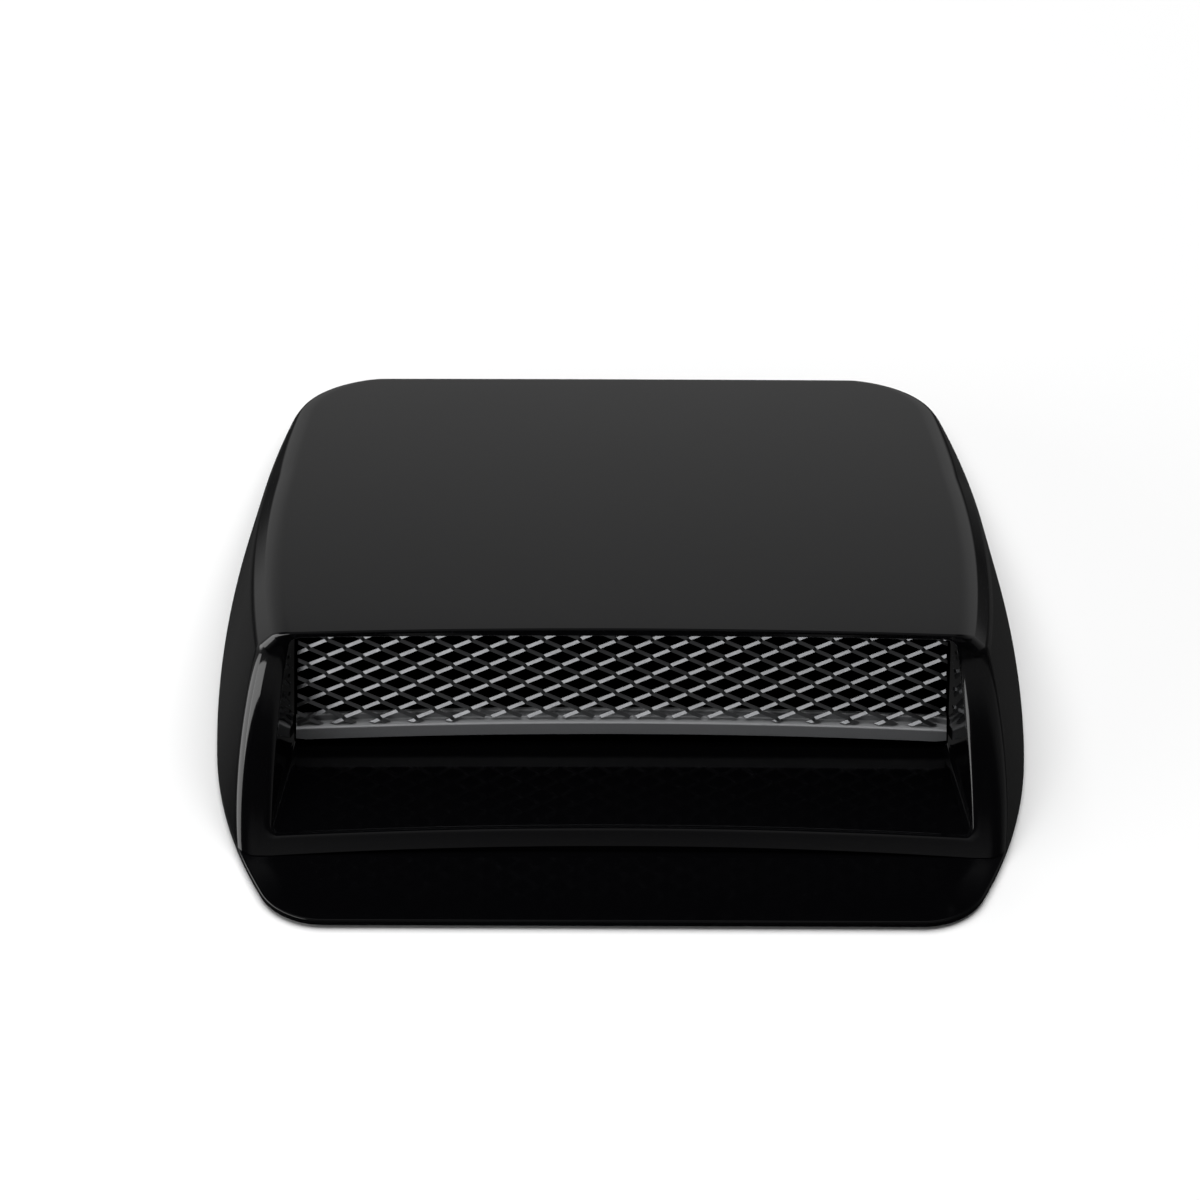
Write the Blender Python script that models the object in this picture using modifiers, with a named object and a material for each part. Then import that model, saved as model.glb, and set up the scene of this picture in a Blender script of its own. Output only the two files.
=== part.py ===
"""Stick-on car bonnet vent: a moulded scoop cover, its base plate, an expanded mesh and its rail.

Depth runs from the base plate's front edge (0) to the rear edge of the scoop, along +Y.
The mouth faces -Y. All lengths are metres, written as millimetres times MM.
"""

import math

import bmesh
import bpy

MM = 0.001

# Fits
CLEARANCE = 0.3 * MM          # air left between pieces that touch
MESH_SIDE_CLEARANCE = 0.6 * MM

# Plan outline, shared by the base plate and the cover
TOTAL_DEPTH = 283.6 * MM      # base plate's front edge to the rear edge
WIDEST_WIDTH = 275.0 * MM
WIDEST_DEPTH = 90.3 * MM
FRONT_NARROWING = 41.8 * MM   # widest width less the width where the side lines meet the front edge
REAR_NARROWING = 67.8 * MM    # the same at the rear edge
FRONT_FULLNESS = 2.04
REAR_FULLNESS = 1.98
FRONT_CORNER_RADIUS = 22.6 * MM
REAR_CORNER_RADIUS = 41.3 * MM

# Stack of tape, plate and cover
TAPE_THICKNESS = 1.2 * MM
TAPE_WIDTH = 9.0 * MM
TAPE_EDGE_INSET = 2.5 * MM
PLATE_THICKNESS = 2.5 * MM
PLATE_EDGE_RADIUS = 0.6 * MM
PLATE_BAND_WIDTH = 21.0 * MM
PLATE_OPENING_DEPTH = 59.6 * MM
PLATE_OPENING_RADIUS = 18.0 * MM

# Cover: heights are above its own rim
RIM_GAP = CLEARANCE
FACE_DEPTH = 33.5 * MM        # foot of the mouth frame
LIP_DEPTH = 73.1 * MM
LIP_HEIGHT = 65.0 * MM
LIP_THICKNESS = 3.9 * MM
FACE_PULL_LOW = (23.0 * MM, 16.0 * MM)    # pulls that bow the frame's side profile
FACE_PULL_HIGH = (10.5 * MM, -13.0 * MM)
REAR_EDGE_HEIGHT = 3.8 * MM
REAR_EDGE_RADIUS = 2.4 * MM
TOP_BOW = 0.20                # share of the fall that is curved
TOP_CROWN = 2.2 * MM
WALL_LEAN = 0.235             # outward run of the side wall per unit of height
BAND_WIDTH = 6.0 * MM         # bevelled shoulder between the top and the side wall
BAND_DROP = 9.0 * MM
BAND_SHARE = 0.30             # most of a low section's height that the shoulder takes
SHOULDER_RADIUS = 4.0 * MM
CREASE_RADIUS = 2.2 * MM
SMALLEST_CREASE_RADIUS = 0.3 * MM         # left of the roundings on the skin's inner side
SMALLEST_SHOULDER_RADIUS = 0.5 * MM
WALL = 2.5 * MM
CUTTER_REACH = 2.0 * MM       # how far a hollow's cutter passes below the rim
POCKET_FRONT_WALL = 3.75 * MM # frame left in front of a cheek's hollow
POCKET_LEVELS = (0.08, 0.25, 0.42, 0.58, 0.70)    # shares of the lip's height
FLOOR_HOLLOW_RUN = 16.0 * MM  # foot of the frame to the hollow under the floor

# Mouth
MOUTH_TOP_NARROWING = 51.0 * MM     # widest width less the mouth's width at the lip
MOUTH_BOTTOM_NARROWING = 36.6 * MM  # the same at the sill
MOUTH_SIDE_FULLNESS = 1.6
MOUTH_AIR_REACH = 20.0 * MM   # how far the duct's cutter stands in front of the frame's foot
MOUTH_TOP_RADIUS = 4.0 * MM
MOUTH_BOTTOM_RADIUS = 2.2 * MM
SILL_HEIGHT = 4.2 * MM
SILL_ARCH = 2.0 * MM
SILL_ARCH_UNDER = 2.2 * MM
SILL_EDGE_RADIUS = 1.1 * MM
SILL_GAP_REACH = 5.0 * MM     # how far the cutter of the gap under the sill stands in front
SILL_GAP_SHARE = 0.75         # how far that gap runs back, as a share of the sill's height
FLOOR_FRONT_HEIGHT = 3.0 * MM
FLOOR_REAR_HEIGHT = 6.4 * MM
FLOOR_ARCH = 2.0 * MM
FLOOR_START = 2.8 * MM        # run from the sill's ridge down to the floor
FRAME_OUTER_RADIUS = 5.0 * MM
FRAME_INNER_RADIUS = 3.0 * MM
LIP_RADIUS = 1.6 * MM
FLARE_LIFT = 0.2              # how far the duct's cutter stands off the frame, per unit of radius
FLARE_FAR_LIFT = 0.6
STEEPEST_FACE = 0.2           # least rise of the frame's profile that a flare is drawn along

# Mesh and its rail
MESH_RUN = 10.0 * MM          # lip to the mesh
MESH_NARROWING = 53.0 * MM    # widest width less the mesh opening's width
MESH_THICKNESS = 0.9 * MM
DIAMOND_LENGTH = 12.3 * MM
DIAMOND_HEIGHT = 7.8 * MM
KNUCKLE_HALF_LENGTH = 0.85 * MM
KNUCKLE_HALF_HEIGHT = 0.5 * MM
STRAND_TWIST = 1.0 * MM
MESH_EDGE_MARGIN = 0.35 * MM  # mesh's cut ends to the limits of its opening
STUB_SHARE = 0.85             # most of a cut strand that is left at the mesh's border
MESH_PHASE = -2.2 * MM        # sideways place of the diamonds from the middle
MESH_ROW_PHASE = 15.9 * MM    # height of one row of knuckles above the rail's top
RAIL_HEIGHT = 5.5 * MM
RAIL_WIDTH = 5.2 * MM
RAIL_FOOT_HEIGHT = 9.8 * MM
RAIL_ARCH = 3.6 * MM
RAIL_EDGE_RADIUS = 0.7 * MM
MESH_SETBACK = 1.3 * MM       # mesh behind the rail's front face
DUCT_TAIL = 3.0 * MM          # duct walls behind the mesh

# Screws and posts
SCREW_SHANK = 2.9 * MM
SCREW_LENGTH = 8.0 * MM
SCREW_HEAD = 5.6 * MM
SCREW_HEAD_HEIGHT = 1.4 * MM
SCREW_TIP = 1.0 * MM
SCREW_SOCKET = 2.0 * MM
SCREW_SOCKET_DEPTH = 0.7 * MM
POST_DIAMETER = 7.0 * MM
POST_INSET = 14.5 * MM
FRONT_POST_DEPTH = 65.6 * MM
MIDDLE_POST_DEPTH = 160.6 * MM
REAR_POST_NARROWING = 155.0 * MM    # widest width less the span of the two rear posts
REAR_POST_INSET = 16.0 * MM

# Fineness of the curved surfaces
LIP_STEPS = 12
CORNER_STEPS = 4
WALL_STEPS = 9
SILL_STEPS = 10
ARC_STEPS = 4
STATION_STEPS = 13
REAR_CORNER_STEPS = 7
SCREW_SIDES = 16
GAP_STEPS = 12
SLOPE_STEP = 0.1 * MM         # half the run over which a curve's slope is taken
PROFILE_STEP = 0.5 * MM       # steps up the frame's profile when a post's height is looked for
WELD = 0.001 * MM

FRONT_WIDTH = WIDEST_WIDTH - FRONT_NARROWING
REAR_WIDTH = WIDEST_WIDTH - REAR_NARROWING
MOUTH_TOP_WIDTH = WIDEST_WIDTH - MOUTH_TOP_NARROWING
MOUTH_BOTTOM_WIDTH = WIDEST_WIDTH - MOUTH_BOTTOM_NARROWING
MESH_WIDTH = WIDEST_WIDTH - MESH_NARROWING
REAR_POST_SPAN = WIDEST_WIDTH - REAR_POST_NARROWING
PLATE_BOTTOM = TAPE_THICKNESS + CLEARANCE
PLATE_TOP = PLATE_BOTTOM + PLATE_THICKNESS
RIM = PLATE_TOP + RIM_GAP
MIDDLE_Y = TOTAL_DEPTH / 2
MESH_DEPTH = LIP_DEPTH + MESH_RUN
DUCT_END = MESH_DEPTH + DUCT_TAIL


def clear_scene():
    """Remove what the file holds, so that the script starts from nothing."""
    for thing in list(bpy.data.objects):
        bpy.data.objects.remove(thing, do_unlink=True)
    for store in (bpy.data.meshes, bpy.data.curves, bpy.data.materials):
        for block in list(store):
            store.remove(block)
    for group in list(bpy.data.collections):
        bpy.data.collections.remove(group)


def make_collection(name):
    """A collection linked into the scene."""
    group = bpy.data.collections.new(name)
    bpy.context.scene.collection.children.link(group)
    return group


def make_material(name, color, roughness, metallic):
    """A Principled material."""
    material = bpy.data.materials.new(name)
    material.use_nodes = True
    shader = material.node_tree.nodes["Principled BSDF"]
    shader.inputs["Base Color"].default_value = (*color, 1.0)
    shader.inputs["Roughness"].default_value = roughness
    shader.inputs["Metallic"].default_value = metallic
    return material


def place(depth):
    """World Y of a depth."""
    return depth - MIDDLE_Y


def mix(start, end, share):
    """Point or number part of the way from start to end."""
    if isinstance(start, tuple):
        return tuple(a + (b - a) * share for a, b in zip(start, end))
    return start + (end - start) * share


def ease(value):
    """Smooth step from 0 to 1."""
    value = min(max(value, 0.0), 1.0)
    return value * value * (3 - 2 * value)


def rounded(before, corner, after, steps):
    """Points of a conic arc that rounds a corner, tangent to both sides."""
    weight = math.sqrt(0.5)
    points = []
    for step in range(steps + 1):
        share = step / steps
        a = (1 - share) ** 2
        b = 2 * weight * share * (1 - share)
        c = share ** 2
        total = a + b + c
        points.append(tuple((a * p + b * q + c * r) / total for p, q, r in zip(before, corner, after)))
    return points


def toward(start, end, length):
    """Point at a length from start on the way to end, no further than half the way."""
    whole = math.dist(start, end)
    if whole == 0:
        return start
    return mix(start, end, min(length / whole, 0.5))


def side_line(depth):
    """Half width of the outline before its corners are rounded."""
    widest = WIDEST_WIDTH / 2
    if depth > WIDEST_DEPTH:
        run = (depth - WIDEST_DEPTH) / (TOTAL_DEPTH - WIDEST_DEPTH)
        return widest - (WIDEST_WIDTH - REAR_WIDTH) / 2 * run ** REAR_FULLNESS
    run = (WIDEST_DEPTH - depth) / WIDEST_DEPTH
    return widest - (WIDEST_WIDTH - FRONT_WIDTH) / 2 * run ** FRONT_FULLNESS


def side_angle(depth):
    """Angle between the side line and the depth axis."""
    step = SLOPE_STEP
    return math.atan((side_line(depth + step) - side_line(depth - step)) / (2 * step))


def corner_arc(rear, radius, inset):
    """Centre and start of the arc that rounds an outline's corner: (half width, depth, start)."""
    end = TOTAL_DEPTH - inset if rear else inset
    way = 1 if rear else -1
    centre_depth = end - way * radius
    start = centre_depth
    for _ in range(12):
        start = centre_depth - radius * math.sin(side_angle(start))
    centre = side_line(start) - inset - radius * math.cos(side_angle(start))
    return centre, centre_depth, start


def half_width(depth, inset=0.0):
    """Half width of the outline, with its rear corner rounded."""
    radius = REAR_CORNER_RADIUS - inset
    centre, centre_depth, start = corner_arc(True, radius, inset)
    if depth <= start:
        return side_line(depth) - inset
    rise = min(depth - centre_depth, radius)
    return centre + math.sqrt(max(radius ** 2 - rise ** 2, 0.0))


def stations(first, inset=0.0):
    """Depths of the cross-sections, close together round the rear corner."""
    radius = REAR_CORNER_RADIUS - inset
    _, centre_depth, start = corner_arc(True, radius, inset)
    depths = [mix(first, start, step / STATION_STEPS) for step in range(STATION_STEPS)]
    low = math.asin((start - centre_depth) / radius)
    for step in range(REAR_CORNER_STEPS + 1):
        angle = mix(low, math.pi / 2, step / REAR_CORNER_STEPS)
        depths.append(centre_depth + radius * math.sin(angle))
    return depths


def face_curve(share):
    """Point (depth, height) of the mouth frame's bowed side profile."""
    foot = (FACE_DEPTH, 0.0)
    head = (LIP_DEPTH, LIP_HEIGHT)
    low = (foot[0] + FACE_PULL_LOW[0], foot[1] + FACE_PULL_LOW[1])
    high = (head[0] + FACE_PULL_HIGH[0], head[1] + FACE_PULL_HIGH[1])
    rest = 1 - share
    weights = (rest ** 3, 3 * rest ** 2 * share, 3 * rest * share ** 2, share ** 3)
    corners = (foot, low, high, head)
    return tuple(sum(w * c[axis] for w, c in zip(weights, corners)) for axis in range(2))


def face_depth(height):
    """Depth of the mouth frame at a height above the rim."""
    if height <= 0:
        return FACE_DEPTH
    if height >= LIP_HEIGHT:
        return LIP_DEPTH
    low, high = 0.0, 1.0
    for _ in range(40):
        middle = (low + high) / 2
        if face_curve(middle)[1] < height:
            low = middle
        else:
            high = middle
    return face_curve(low)[0]


def top_height(depth):
    """Height of the top's side edges above the rim."""
    if depth <= LIP_DEPTH:
        return LIP_HEIGHT
    run = (depth - LIP_DEPTH) / (TOTAL_DEPTH - LIP_DEPTH)
    fall = (1 - TOP_BOW) * run + TOP_BOW * run ** 2
    height = LIP_HEIGHT - (LIP_HEIGHT - REAR_EDGE_HEIGHT) * fall
    past = depth - (TOTAL_DEPTH - REAR_EDGE_RADIUS)
    if past > 0:
        height -= REAR_EDGE_RADIUS - math.sqrt(max(REAR_EDGE_RADIUS ** 2 - past ** 2, 0.0))
    return height


def section(depth, inset=0.0):
    """Half cross-section (half width, height) from the rim up over the shoulder to the middle."""
    foot = half_width(depth, inset)
    top = top_height(depth + inset * 0.3) - inset
    drop = min(BAND_DROP, top * BAND_SHARE)
    band = BAND_WIDTH * drop / BAND_DROP
    crease_height = top - drop
    base = (foot, 0.0)
    crease = (foot - WALL_LEAN * crease_height, crease_height)
    edge = (crease[0] - band, top)
    inner = (edge[0] / 2, top)
    crease_round = max(CREASE_RADIUS - inset, SMALLEST_CREASE_RADIUS)
    edge_round = max(SHOULDER_RADIUS - inset, SMALLEST_SHOULDER_RADIUS)
    crease_in = toward(crease, base, crease_round)
    crease_out = toward(crease, edge, crease_round)
    edge_in = toward(edge, crease, edge_round)
    edge_out = toward(edge, inner, edge_round)
    points = [mix(base, crease_in, step / WALL_STEPS) for step in range(WALL_STEPS)]
    points += rounded(crease_in, crease, crease_out, 2)
    points += rounded(edge_in, edge, edge_out, ARC_STEPS)
    start = edge_out[0]
    for step in range(1, LIP_STEPS + 1):
        across = start * (1 - step / LIP_STEPS)
        points.append((across, top + crown(across, start, top / LIP_HEIGHT)))
    return points


def mouth_half_width(height):
    """Half width of the mouth's opening at a height."""
    share = min(max(height / LIP_HEIGHT, 0.0), 1.0)
    change = (MOUTH_BOTTOM_WIDTH - MOUTH_TOP_WIDTH) / 2
    return MOUTH_BOTTOM_WIDTH / 2 - change * share ** MOUTH_SIDE_FULLNESS


def arch(across, rise):
    """Rise of an arched bar at a distance from the middle."""
    return rise * (1 - min(abs(across) / (MOUTH_BOTTOM_WIDTH / 2), 1.0) ** 2)


def crown(across, half, share=1.0):
    """Rise of the crowned top at a distance from the middle."""
    return TOP_CROWN * share * (1 - min(abs(across) / half, 1.0) ** 2)


def mouth_loop(top, bottom, rise, half_at):
    """Half loop (half width, height) round the duct, from the lip's middle to the sill's middle."""
    side_top = (half_at(top - MOUTH_TOP_RADIUS), top - MOUTH_TOP_RADIUS)
    side_bottom = (half_at(bottom + MOUTH_BOTTOM_RADIUS), bottom + MOUTH_BOTTOM_RADIUS)
    lip_end = (half_at(top) - MOUTH_TOP_RADIUS, top)
    sill_end = (half_at(bottom) - MOUTH_BOTTOM_RADIUS, bottom)
    points = [(lip_end[0] * step / LIP_STEPS, top) for step in range(LIP_STEPS)]
    points += rounded(lip_end, (half_at(top), top), side_top, CORNER_STEPS)
    for step in range(1, WALL_STEPS):
        height = mix(side_top[1], side_bottom[1], step / WALL_STEPS)
        points.append((half_at(height), height))
    points += rounded(side_bottom, (half_at(bottom), bottom), sill_end, CORNER_STEPS)
    points += [(sill_end[0] * (1 - step / SILL_STEPS), bottom) for step in range(1, SILL_STEPS + 1)]
    reach = 2 * MOUTH_BOTTOM_RADIUS
    loop = []
    for x, z in points:
        lift = arch(x, rise) * ease((bottom + reach - z) / reach)
        lift += crown(x, half_at(top)) * ease((z - side_top[1]) / MOUTH_TOP_RADIUS)
        loop.append((x, z + lift))
    return loop


def close_loop(half):
    """Whole closed ring of (x, y, z) from a half ring whose first and last points lie at x = 0."""
    other = [(-x, y, z) for x, y, z in reversed(half[1:-1])]
    return half + other


def build_mesh(name, points, faces, group):
    """Object from points and faces, with its faces turned outward."""
    mesh = bpy.data.meshes.new(name)
    mesh.from_pydata(points, [], faces)
    work = bmesh.new()
    work.from_mesh(mesh)
    bmesh.ops.remove_doubles(work, verts=work.verts, dist=WELD)
    bmesh.ops.recalc_face_normals(work, faces=work.faces)
    work.to_mesh(mesh)
    work.free()
    thing = bpy.data.objects.new(name, mesh)
    group.objects.link(thing)
    return thing


def loft(name, rings, group):
    """Closed body through closed rings of equally many points, with flat ends."""
    count = len(rings[0])
    points = [point for ring in rings for point in ring]
    faces = [tuple(range(count)), tuple(range(len(points) - count, len(points)))]
    for row in range(len(rings) - 1):
        for place_in_ring in range(count):
            after = (place_in_ring + 1) % count
            low = row * count
            faces.append((low + place_in_ring, low + after, low + count + after, low + count + place_in_ring))
    return build_mesh(name, points, faces, group)


def flat_body(name, outlines, low, high, group):
    """Body with upright walls from flat outlines in plan; every outline after the first is a hole."""
    curve = bpy.data.curves.new(name, "CURVE")
    curve.dimensions = "2D"
    curve.fill_mode = "BOTH"
    curve.extrude = (high - low) / 2
    for outline in outlines:
        spline = curve.splines.new("POLY")
        spline.points.add(len(outline) - 1)
        spline.use_cyclic_u = True
        for point, (x, y) in zip(spline.points, outline):
            point.co = (x, y, 0.0, 1.0)
    guide = bpy.data.objects.new(name, curve)
    group.objects.link(guide)
    guide.location.z = (low + high) / 2
    return make_solid(guide, group)


def make_solid(guide, group):
    """Mesh object from a curve object, with the curve's loose caps welded on."""
    name = guide.name
    bpy.context.view_layer.update()
    depsgraph = bpy.context.evaluated_depsgraph_get()
    mesh = bpy.data.meshes.new_from_object(guide.evaluated_get(depsgraph))
    matrix = guide.matrix_world.copy()
    curve = guide.data
    bpy.data.objects.remove(guide)
    bpy.data.curves.remove(curve)
    mesh.name = name
    work = bmesh.new()
    work.from_mesh(mesh)
    bmesh.ops.remove_doubles(work, verts=work.verts, dist=WELD)
    bmesh.ops.dissolve_limit(work, angle_limit=0.001, verts=work.verts, edges=work.edges)
    bmesh.ops.recalc_face_normals(work, faces=work.faces)
    work.to_mesh(mesh)
    work.free()
    solid = bpy.data.objects.new(name, mesh)
    solid.matrix_world = matrix
    group.objects.link(solid)
    return solid


def cylinder(name, radius, low, high, at, group, sides=SCREW_SIDES):
    """Upright cylinder between two heights."""
    mesh = bpy.data.meshes.new(name)
    work = bmesh.new()
    bmesh.ops.create_cone(work, cap_ends=True, segments=sides, radius1=radius, radius2=radius,
                          depth=high - low)
    work.to_mesh(mesh)
    work.free()
    thing = bpy.data.objects.new(name, mesh)
    thing.location = (at[0], at[1], (low + high) / 2)
    group.objects.link(thing)
    return thing


def turned(name, profile, at, group, sides=SCREW_SIDES):
    """Body turned round an upright axis from a profile (radius, height), top to bottom."""
    mesh = bpy.data.meshes.new(name)
    points = [(radius, 0.0, height) for radius, height in profile]
    mesh.from_pydata(points, [(step, step + 1) for step in range(len(points) - 1)], [])
    thing = bpy.data.objects.new(name, mesh)
    thing.location = (at[0], at[1], 0.0)
    group.objects.link(thing)
    screw = thing.modifiers.new("turn", "SCREW")
    screw.axis = "Z"
    screw.steps = sides
    screw.render_steps = sides
    screw.use_merge_vertices = True
    screw.merge_threshold = WELD
    return thing


def cut(target, tool):
    """Difference of one body and a cutter, kept as a modifier."""
    hide_tool(tool)
    change = target.modifiers.new("cut " + tool.name, "BOOLEAN")
    change.operation = "DIFFERENCE"
    change.solver = "EXACT"
    change.object = tool


def join(target, tool):
    """Union of one body and another, kept as a modifier."""
    hide_tool(tool)
    change = target.modifiers.new("join " + tool.name, "BOOLEAN")
    change.operation = "UNION"
    change.solver = "EXACT"
    change.object = tool


def hide_tool(tool):
    """Mark a body as a cutter or a guide."""
    tool.hide_render = True
    tool.display_type = "WIRE"


def finish(thing, material, smooth=True):
    """Give a body its material and its shading."""
    thing.data.materials.append(material)
    if smooth:
        thing.data.shade_smooth()
        thing.data.set_sharp_from_angle(angle=math.radians(32))


def spoke_edges():
    """Front rings of the skin: the face's border and the arc that rolls it into the skin."""
    front = section(LIP_DEPTH)
    wall_end = WALL_STEPS + 2
    top_start = wall_end + ARC_STEPS + 1
    lines = []
    for index, (_, height) in enumerate(front):
        turn = ease((index - WALL_STEPS) / (top_start - WALL_STEPS))
        reach = mix(FRAME_OUTER_RADIUS, LIP_RADIUS, turn)
        depth = face_depth(height) if index < top_start else LIP_DEPTH
        edge_x, edge_z = section(depth)[index]
        skin_x, skin_z = section(depth + reach)[index]
        inner_z = edge_z - reach * turn
        inner_depth = face_depth(inner_z) if index < top_start else face_depth(LIP_HEIGHT - LIP_RADIUS)
        inner = (edge_x - reach * (1 - turn), inner_depth, inner_z)
        edge = (edge_x, depth, edge_z)
        skin = (skin_x, depth + reach, skin_z)
        lines.append(rounded(inner, edge, skin, ARC_STEPS))
    return lines


def cover_block(group):
    """Outer form of the cover: skin, rolled front border and bowed face, closed underneath."""
    lines = spoke_edges()
    for index, line in enumerate(lines):
        start = line[-1][1]
        for depth in stations(start)[1:]:
            x, z = section(depth)[index]
            line.append((x, depth, z))
    steps = len(lines[0])
    spokes = len(lines)
    points = []
    for side in (1, -1):
        for line in lines:
            points += [(side * x, place(depth), RIM + z) for x, depth, z in line]
    half = spokes * steps

    def at(side, spoke, step):
        return (0 if side > 0 else half) + spoke * steps + step

    faces = []
    for side in (1, -1):
        for spoke in range(spokes - 1):
            for step in range(steps - 1):
                faces.append((at(side, spoke, step), at(side, spoke, step + 1),
                              at(side, spoke + 1, step + 1), at(side, spoke + 1, step)))
    top_start = WALL_STEPS + 2 + ARC_STEPS + 1
    for spoke in range(top_start):
        faces.append((at(1, spoke, 0), at(1, spoke + 1, 0), at(-1, spoke + 1, 0), at(-1, spoke, 0)))
    lip = [at(1, spoke, 0) for spoke in range(top_start, spokes)]
    lip += [at(-1, spoke, 0) for spoke in range(spokes - 2, top_start - 1, -1)]
    faces.append(tuple(lip))
    rear = [at(1, spoke, steps - 1) for spoke in range(spokes)]
    rear += [at(-1, spoke, steps - 1) for spoke in range(spokes - 2, -1, -1)]
    faces.append(tuple(rear))
    under = [at(1, 0, step) for step in range(steps)]
    under += [at(-1, 0, step) for step in range(steps - 1, -1, -1)]
    faces.append(tuple(under))
    return build_mesh("scoop_cover", points, faces, group)


def ring_at(half):
    """Closed world ring from a half ring of (x, depth, height above the rim)."""
    return close_loop([(x, place(depth), RIM + z) for x, depth, z in half])


def face_frame(height):
    """Upward tangent and outward normal of the bowed face, each as (depth, height)."""
    step = 3 * SLOPE_STEP
    run = face_depth(height + step) - face_depth(height - step)
    length = math.hypot(run, 2 * step)
    tangent = (run / length, 2 * step / length)
    return tangent, (-tangent[1], tangent[0])


def flared(loop, index, reach, lift):
    """Point outside a mouth loop: reach along the face, lift out of it."""
    x, z = loop[index]
    before = loop[max(index - 1, 0)]
    after = loop[min(index + 1, len(loop) - 1)]
    tangent, normal = face_frame(z)
    slope = 1.0 / max(tangent[1], STEEPEST_FACE)
    along = (after[0] - before[0], (after[1] - before[1]) * slope)
    length = math.hypot(*along)
    out = (-along[1] / length, along[0] / length)
    depth = face_depth(z) + tangent[0] * out[1] * reach + normal[0] * lift
    height = z + tangent[1] * out[1] * reach + normal[1] * lift
    return (x + out[0] * reach, depth, height)


def duct_cutter(group):
    """Air space from in front of the face to behind the mesh, flared where it meets the face."""
    top = LIP_HEIGHT - LIP_THICKNESS
    mouth = mouth_loop(top, SILL_HEIGHT, SILL_ARCH, mouth_half_width)
    throat = mouth_loop(top, FLOOR_FRONT_HEIGHT, SILL_ARCH, mouth_half_width)
    rear_top = top_height(DUCT_END) - WALL
    rear = mouth_loop(rear_top, FLOOR_REAR_HEIGHT, FLOOR_ARCH, lambda height: MESH_WIDTH / 2)
    rings = [[] for _ in range(ARC_STEPS + 5)]
    sill_start = len(mouth) - SILL_STEPS - CORNER_STEPS
    for index, (x, z) in enumerate(mouth):
        radius = FRAME_INNER_RADIUS
        if index < LIP_STEPS:
            radius = LIP_RADIUS
        if index >= sill_start:
            radius = SILL_EDGE_RADIUS
        edge = (x, face_depth(z), z)
        valley = (throat[index][0], edge[1] + FLOOR_START, throat[index][1])
        end = (rear[index][0], DUCT_END, rear[index][1])
        on_face = flared(mouth, index, radius, FLARE_LIFT * radius)
        ahead = flared(mouth, index, 2 * radius, FLARE_FAR_LIFT * radius)
        line = [(ahead[0], FACE_DEPTH - MOUTH_AIR_REACH, ahead[2]), ahead]
        line += rounded(on_face, edge, toward(edge, valley, radius), ARC_STEPS)
        line += [valley, end]
        for ring, point in zip(rings, line):
            ring.append(point)
    return loft("duct air", [ring_at(ring) for ring in rings], group)


def cavity_cutter(group):
    """Hollow under the top and between the side walls, behind the duct."""
    depths = stations(MESH_DEPTH + DUCT_TAIL / 2, WALL)
    rings = []
    for depth in depths:
        half = [(x, depth, z) for x, z in reversed(section(depth, WALL)[1:])]
        foot = half_width(depth, WALL)
        half += [(foot, depth, -CUTTER_REACH), (0.0, depth, -CUTTER_REACH)]
        rings.append(ring_at(half))
    return loft("cover hollow", rings, group)


def pocket_cutter(side, group):
    """Hollow in one cheek, between the duct's wall and the side wall."""
    levels = [-CUTTER_REACH] + [LIP_HEIGHT * share for share in POCKET_LEVELS]
    rings = []
    for level in levels:
        height = max(level, 0.0)
        front = face_depth(height) + POCKET_FRONT_WALL
        back = DUCT_END
        inner_front = mix(mouth_half_width(height), MESH_WIDTH / 2,
                          (front - face_depth(height)) / (DUCT_END - face_depth(height))) + WALL
        inner_back = MESH_WIDTH / 2 + WALL
        outer_front = half_width(front) - WALL_LEAN * height - WALL
        outer_back = half_width(back) - WALL_LEAN * height - WALL
        corners = ((inner_front, front), (outer_front, front), (outer_back, back), (inner_back, back))
        rings.append([(side * x, place(y), RIM + level) for x, y in corners])
    name = "right cheek hollow" if side > 0 else "left cheek hollow"
    return loft(name, rings, group)


def floor_cutter(group):
    """Hollow under the rising floor of the duct."""
    half = MESH_WIDTH / 2 - WALL
    front = FACE_DEPTH + FLOOR_HOLLOW_RUN
    low = -CUTTER_REACH
    rise_front = FLOOR_FRONT_HEIGHT - WALL + CLEARANCE
    rise_back = FLOOR_REAR_HEIGHT - WALL
    profile = ((front, low), (front, rise_front), (DUCT_END, rise_back), (DUCT_END, low))
    rings = [[(x, place(y), RIM + z) for y, z in profile] for x in (-half, half)]
    return loft("floor hollow", rings, group)


def sill_arch_cutter(group):
    """Shallow arched gap under the middle of the sill."""
    half = MOUTH_BOTTOM_WIDTH / 2
    low = -CUTTER_REACH
    places = [mix(-half, half, step / GAP_STEPS) for step in range(GAP_STEPS + 1)]
    top = [(x, max(arch(x, SILL_ARCH_UNDER), 0.0)) for x in places]
    outline = top + [(half, low), (-half, low)]
    depths = (FACE_DEPTH - SILL_GAP_REACH, FACE_DEPTH + SILL_HEIGHT * SILL_GAP_SHARE)
    rings = [[(x, place(depth), RIM + z) for x, z in outline] for depth in depths]
    return loft("gap under the sill", rings, group)


def post_places():
    """Plan places (x, depth) of the posts that take the screws."""
    places = []
    for depth in (FRONT_POST_DEPTH, MIDDLE_POST_DEPTH):
        across = half_width(depth) - POST_INSET
        places += [(-across, depth), (across, depth)]
    rear = TOTAL_DEPTH - REAR_POST_INSET
    return places + [(-REAR_POST_SPAN / 2, rear), (REAR_POST_SPAN / 2, rear)]


def frame_height(depth):
    """Height at which the bowed mouth frame reaches a depth."""
    if depth >= LIP_DEPTH:
        return LIP_HEIGHT
    height = 0.0
    while height < LIP_HEIGHT and face_depth(height) < depth:
        height += PROFILE_STEP
    return height


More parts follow.
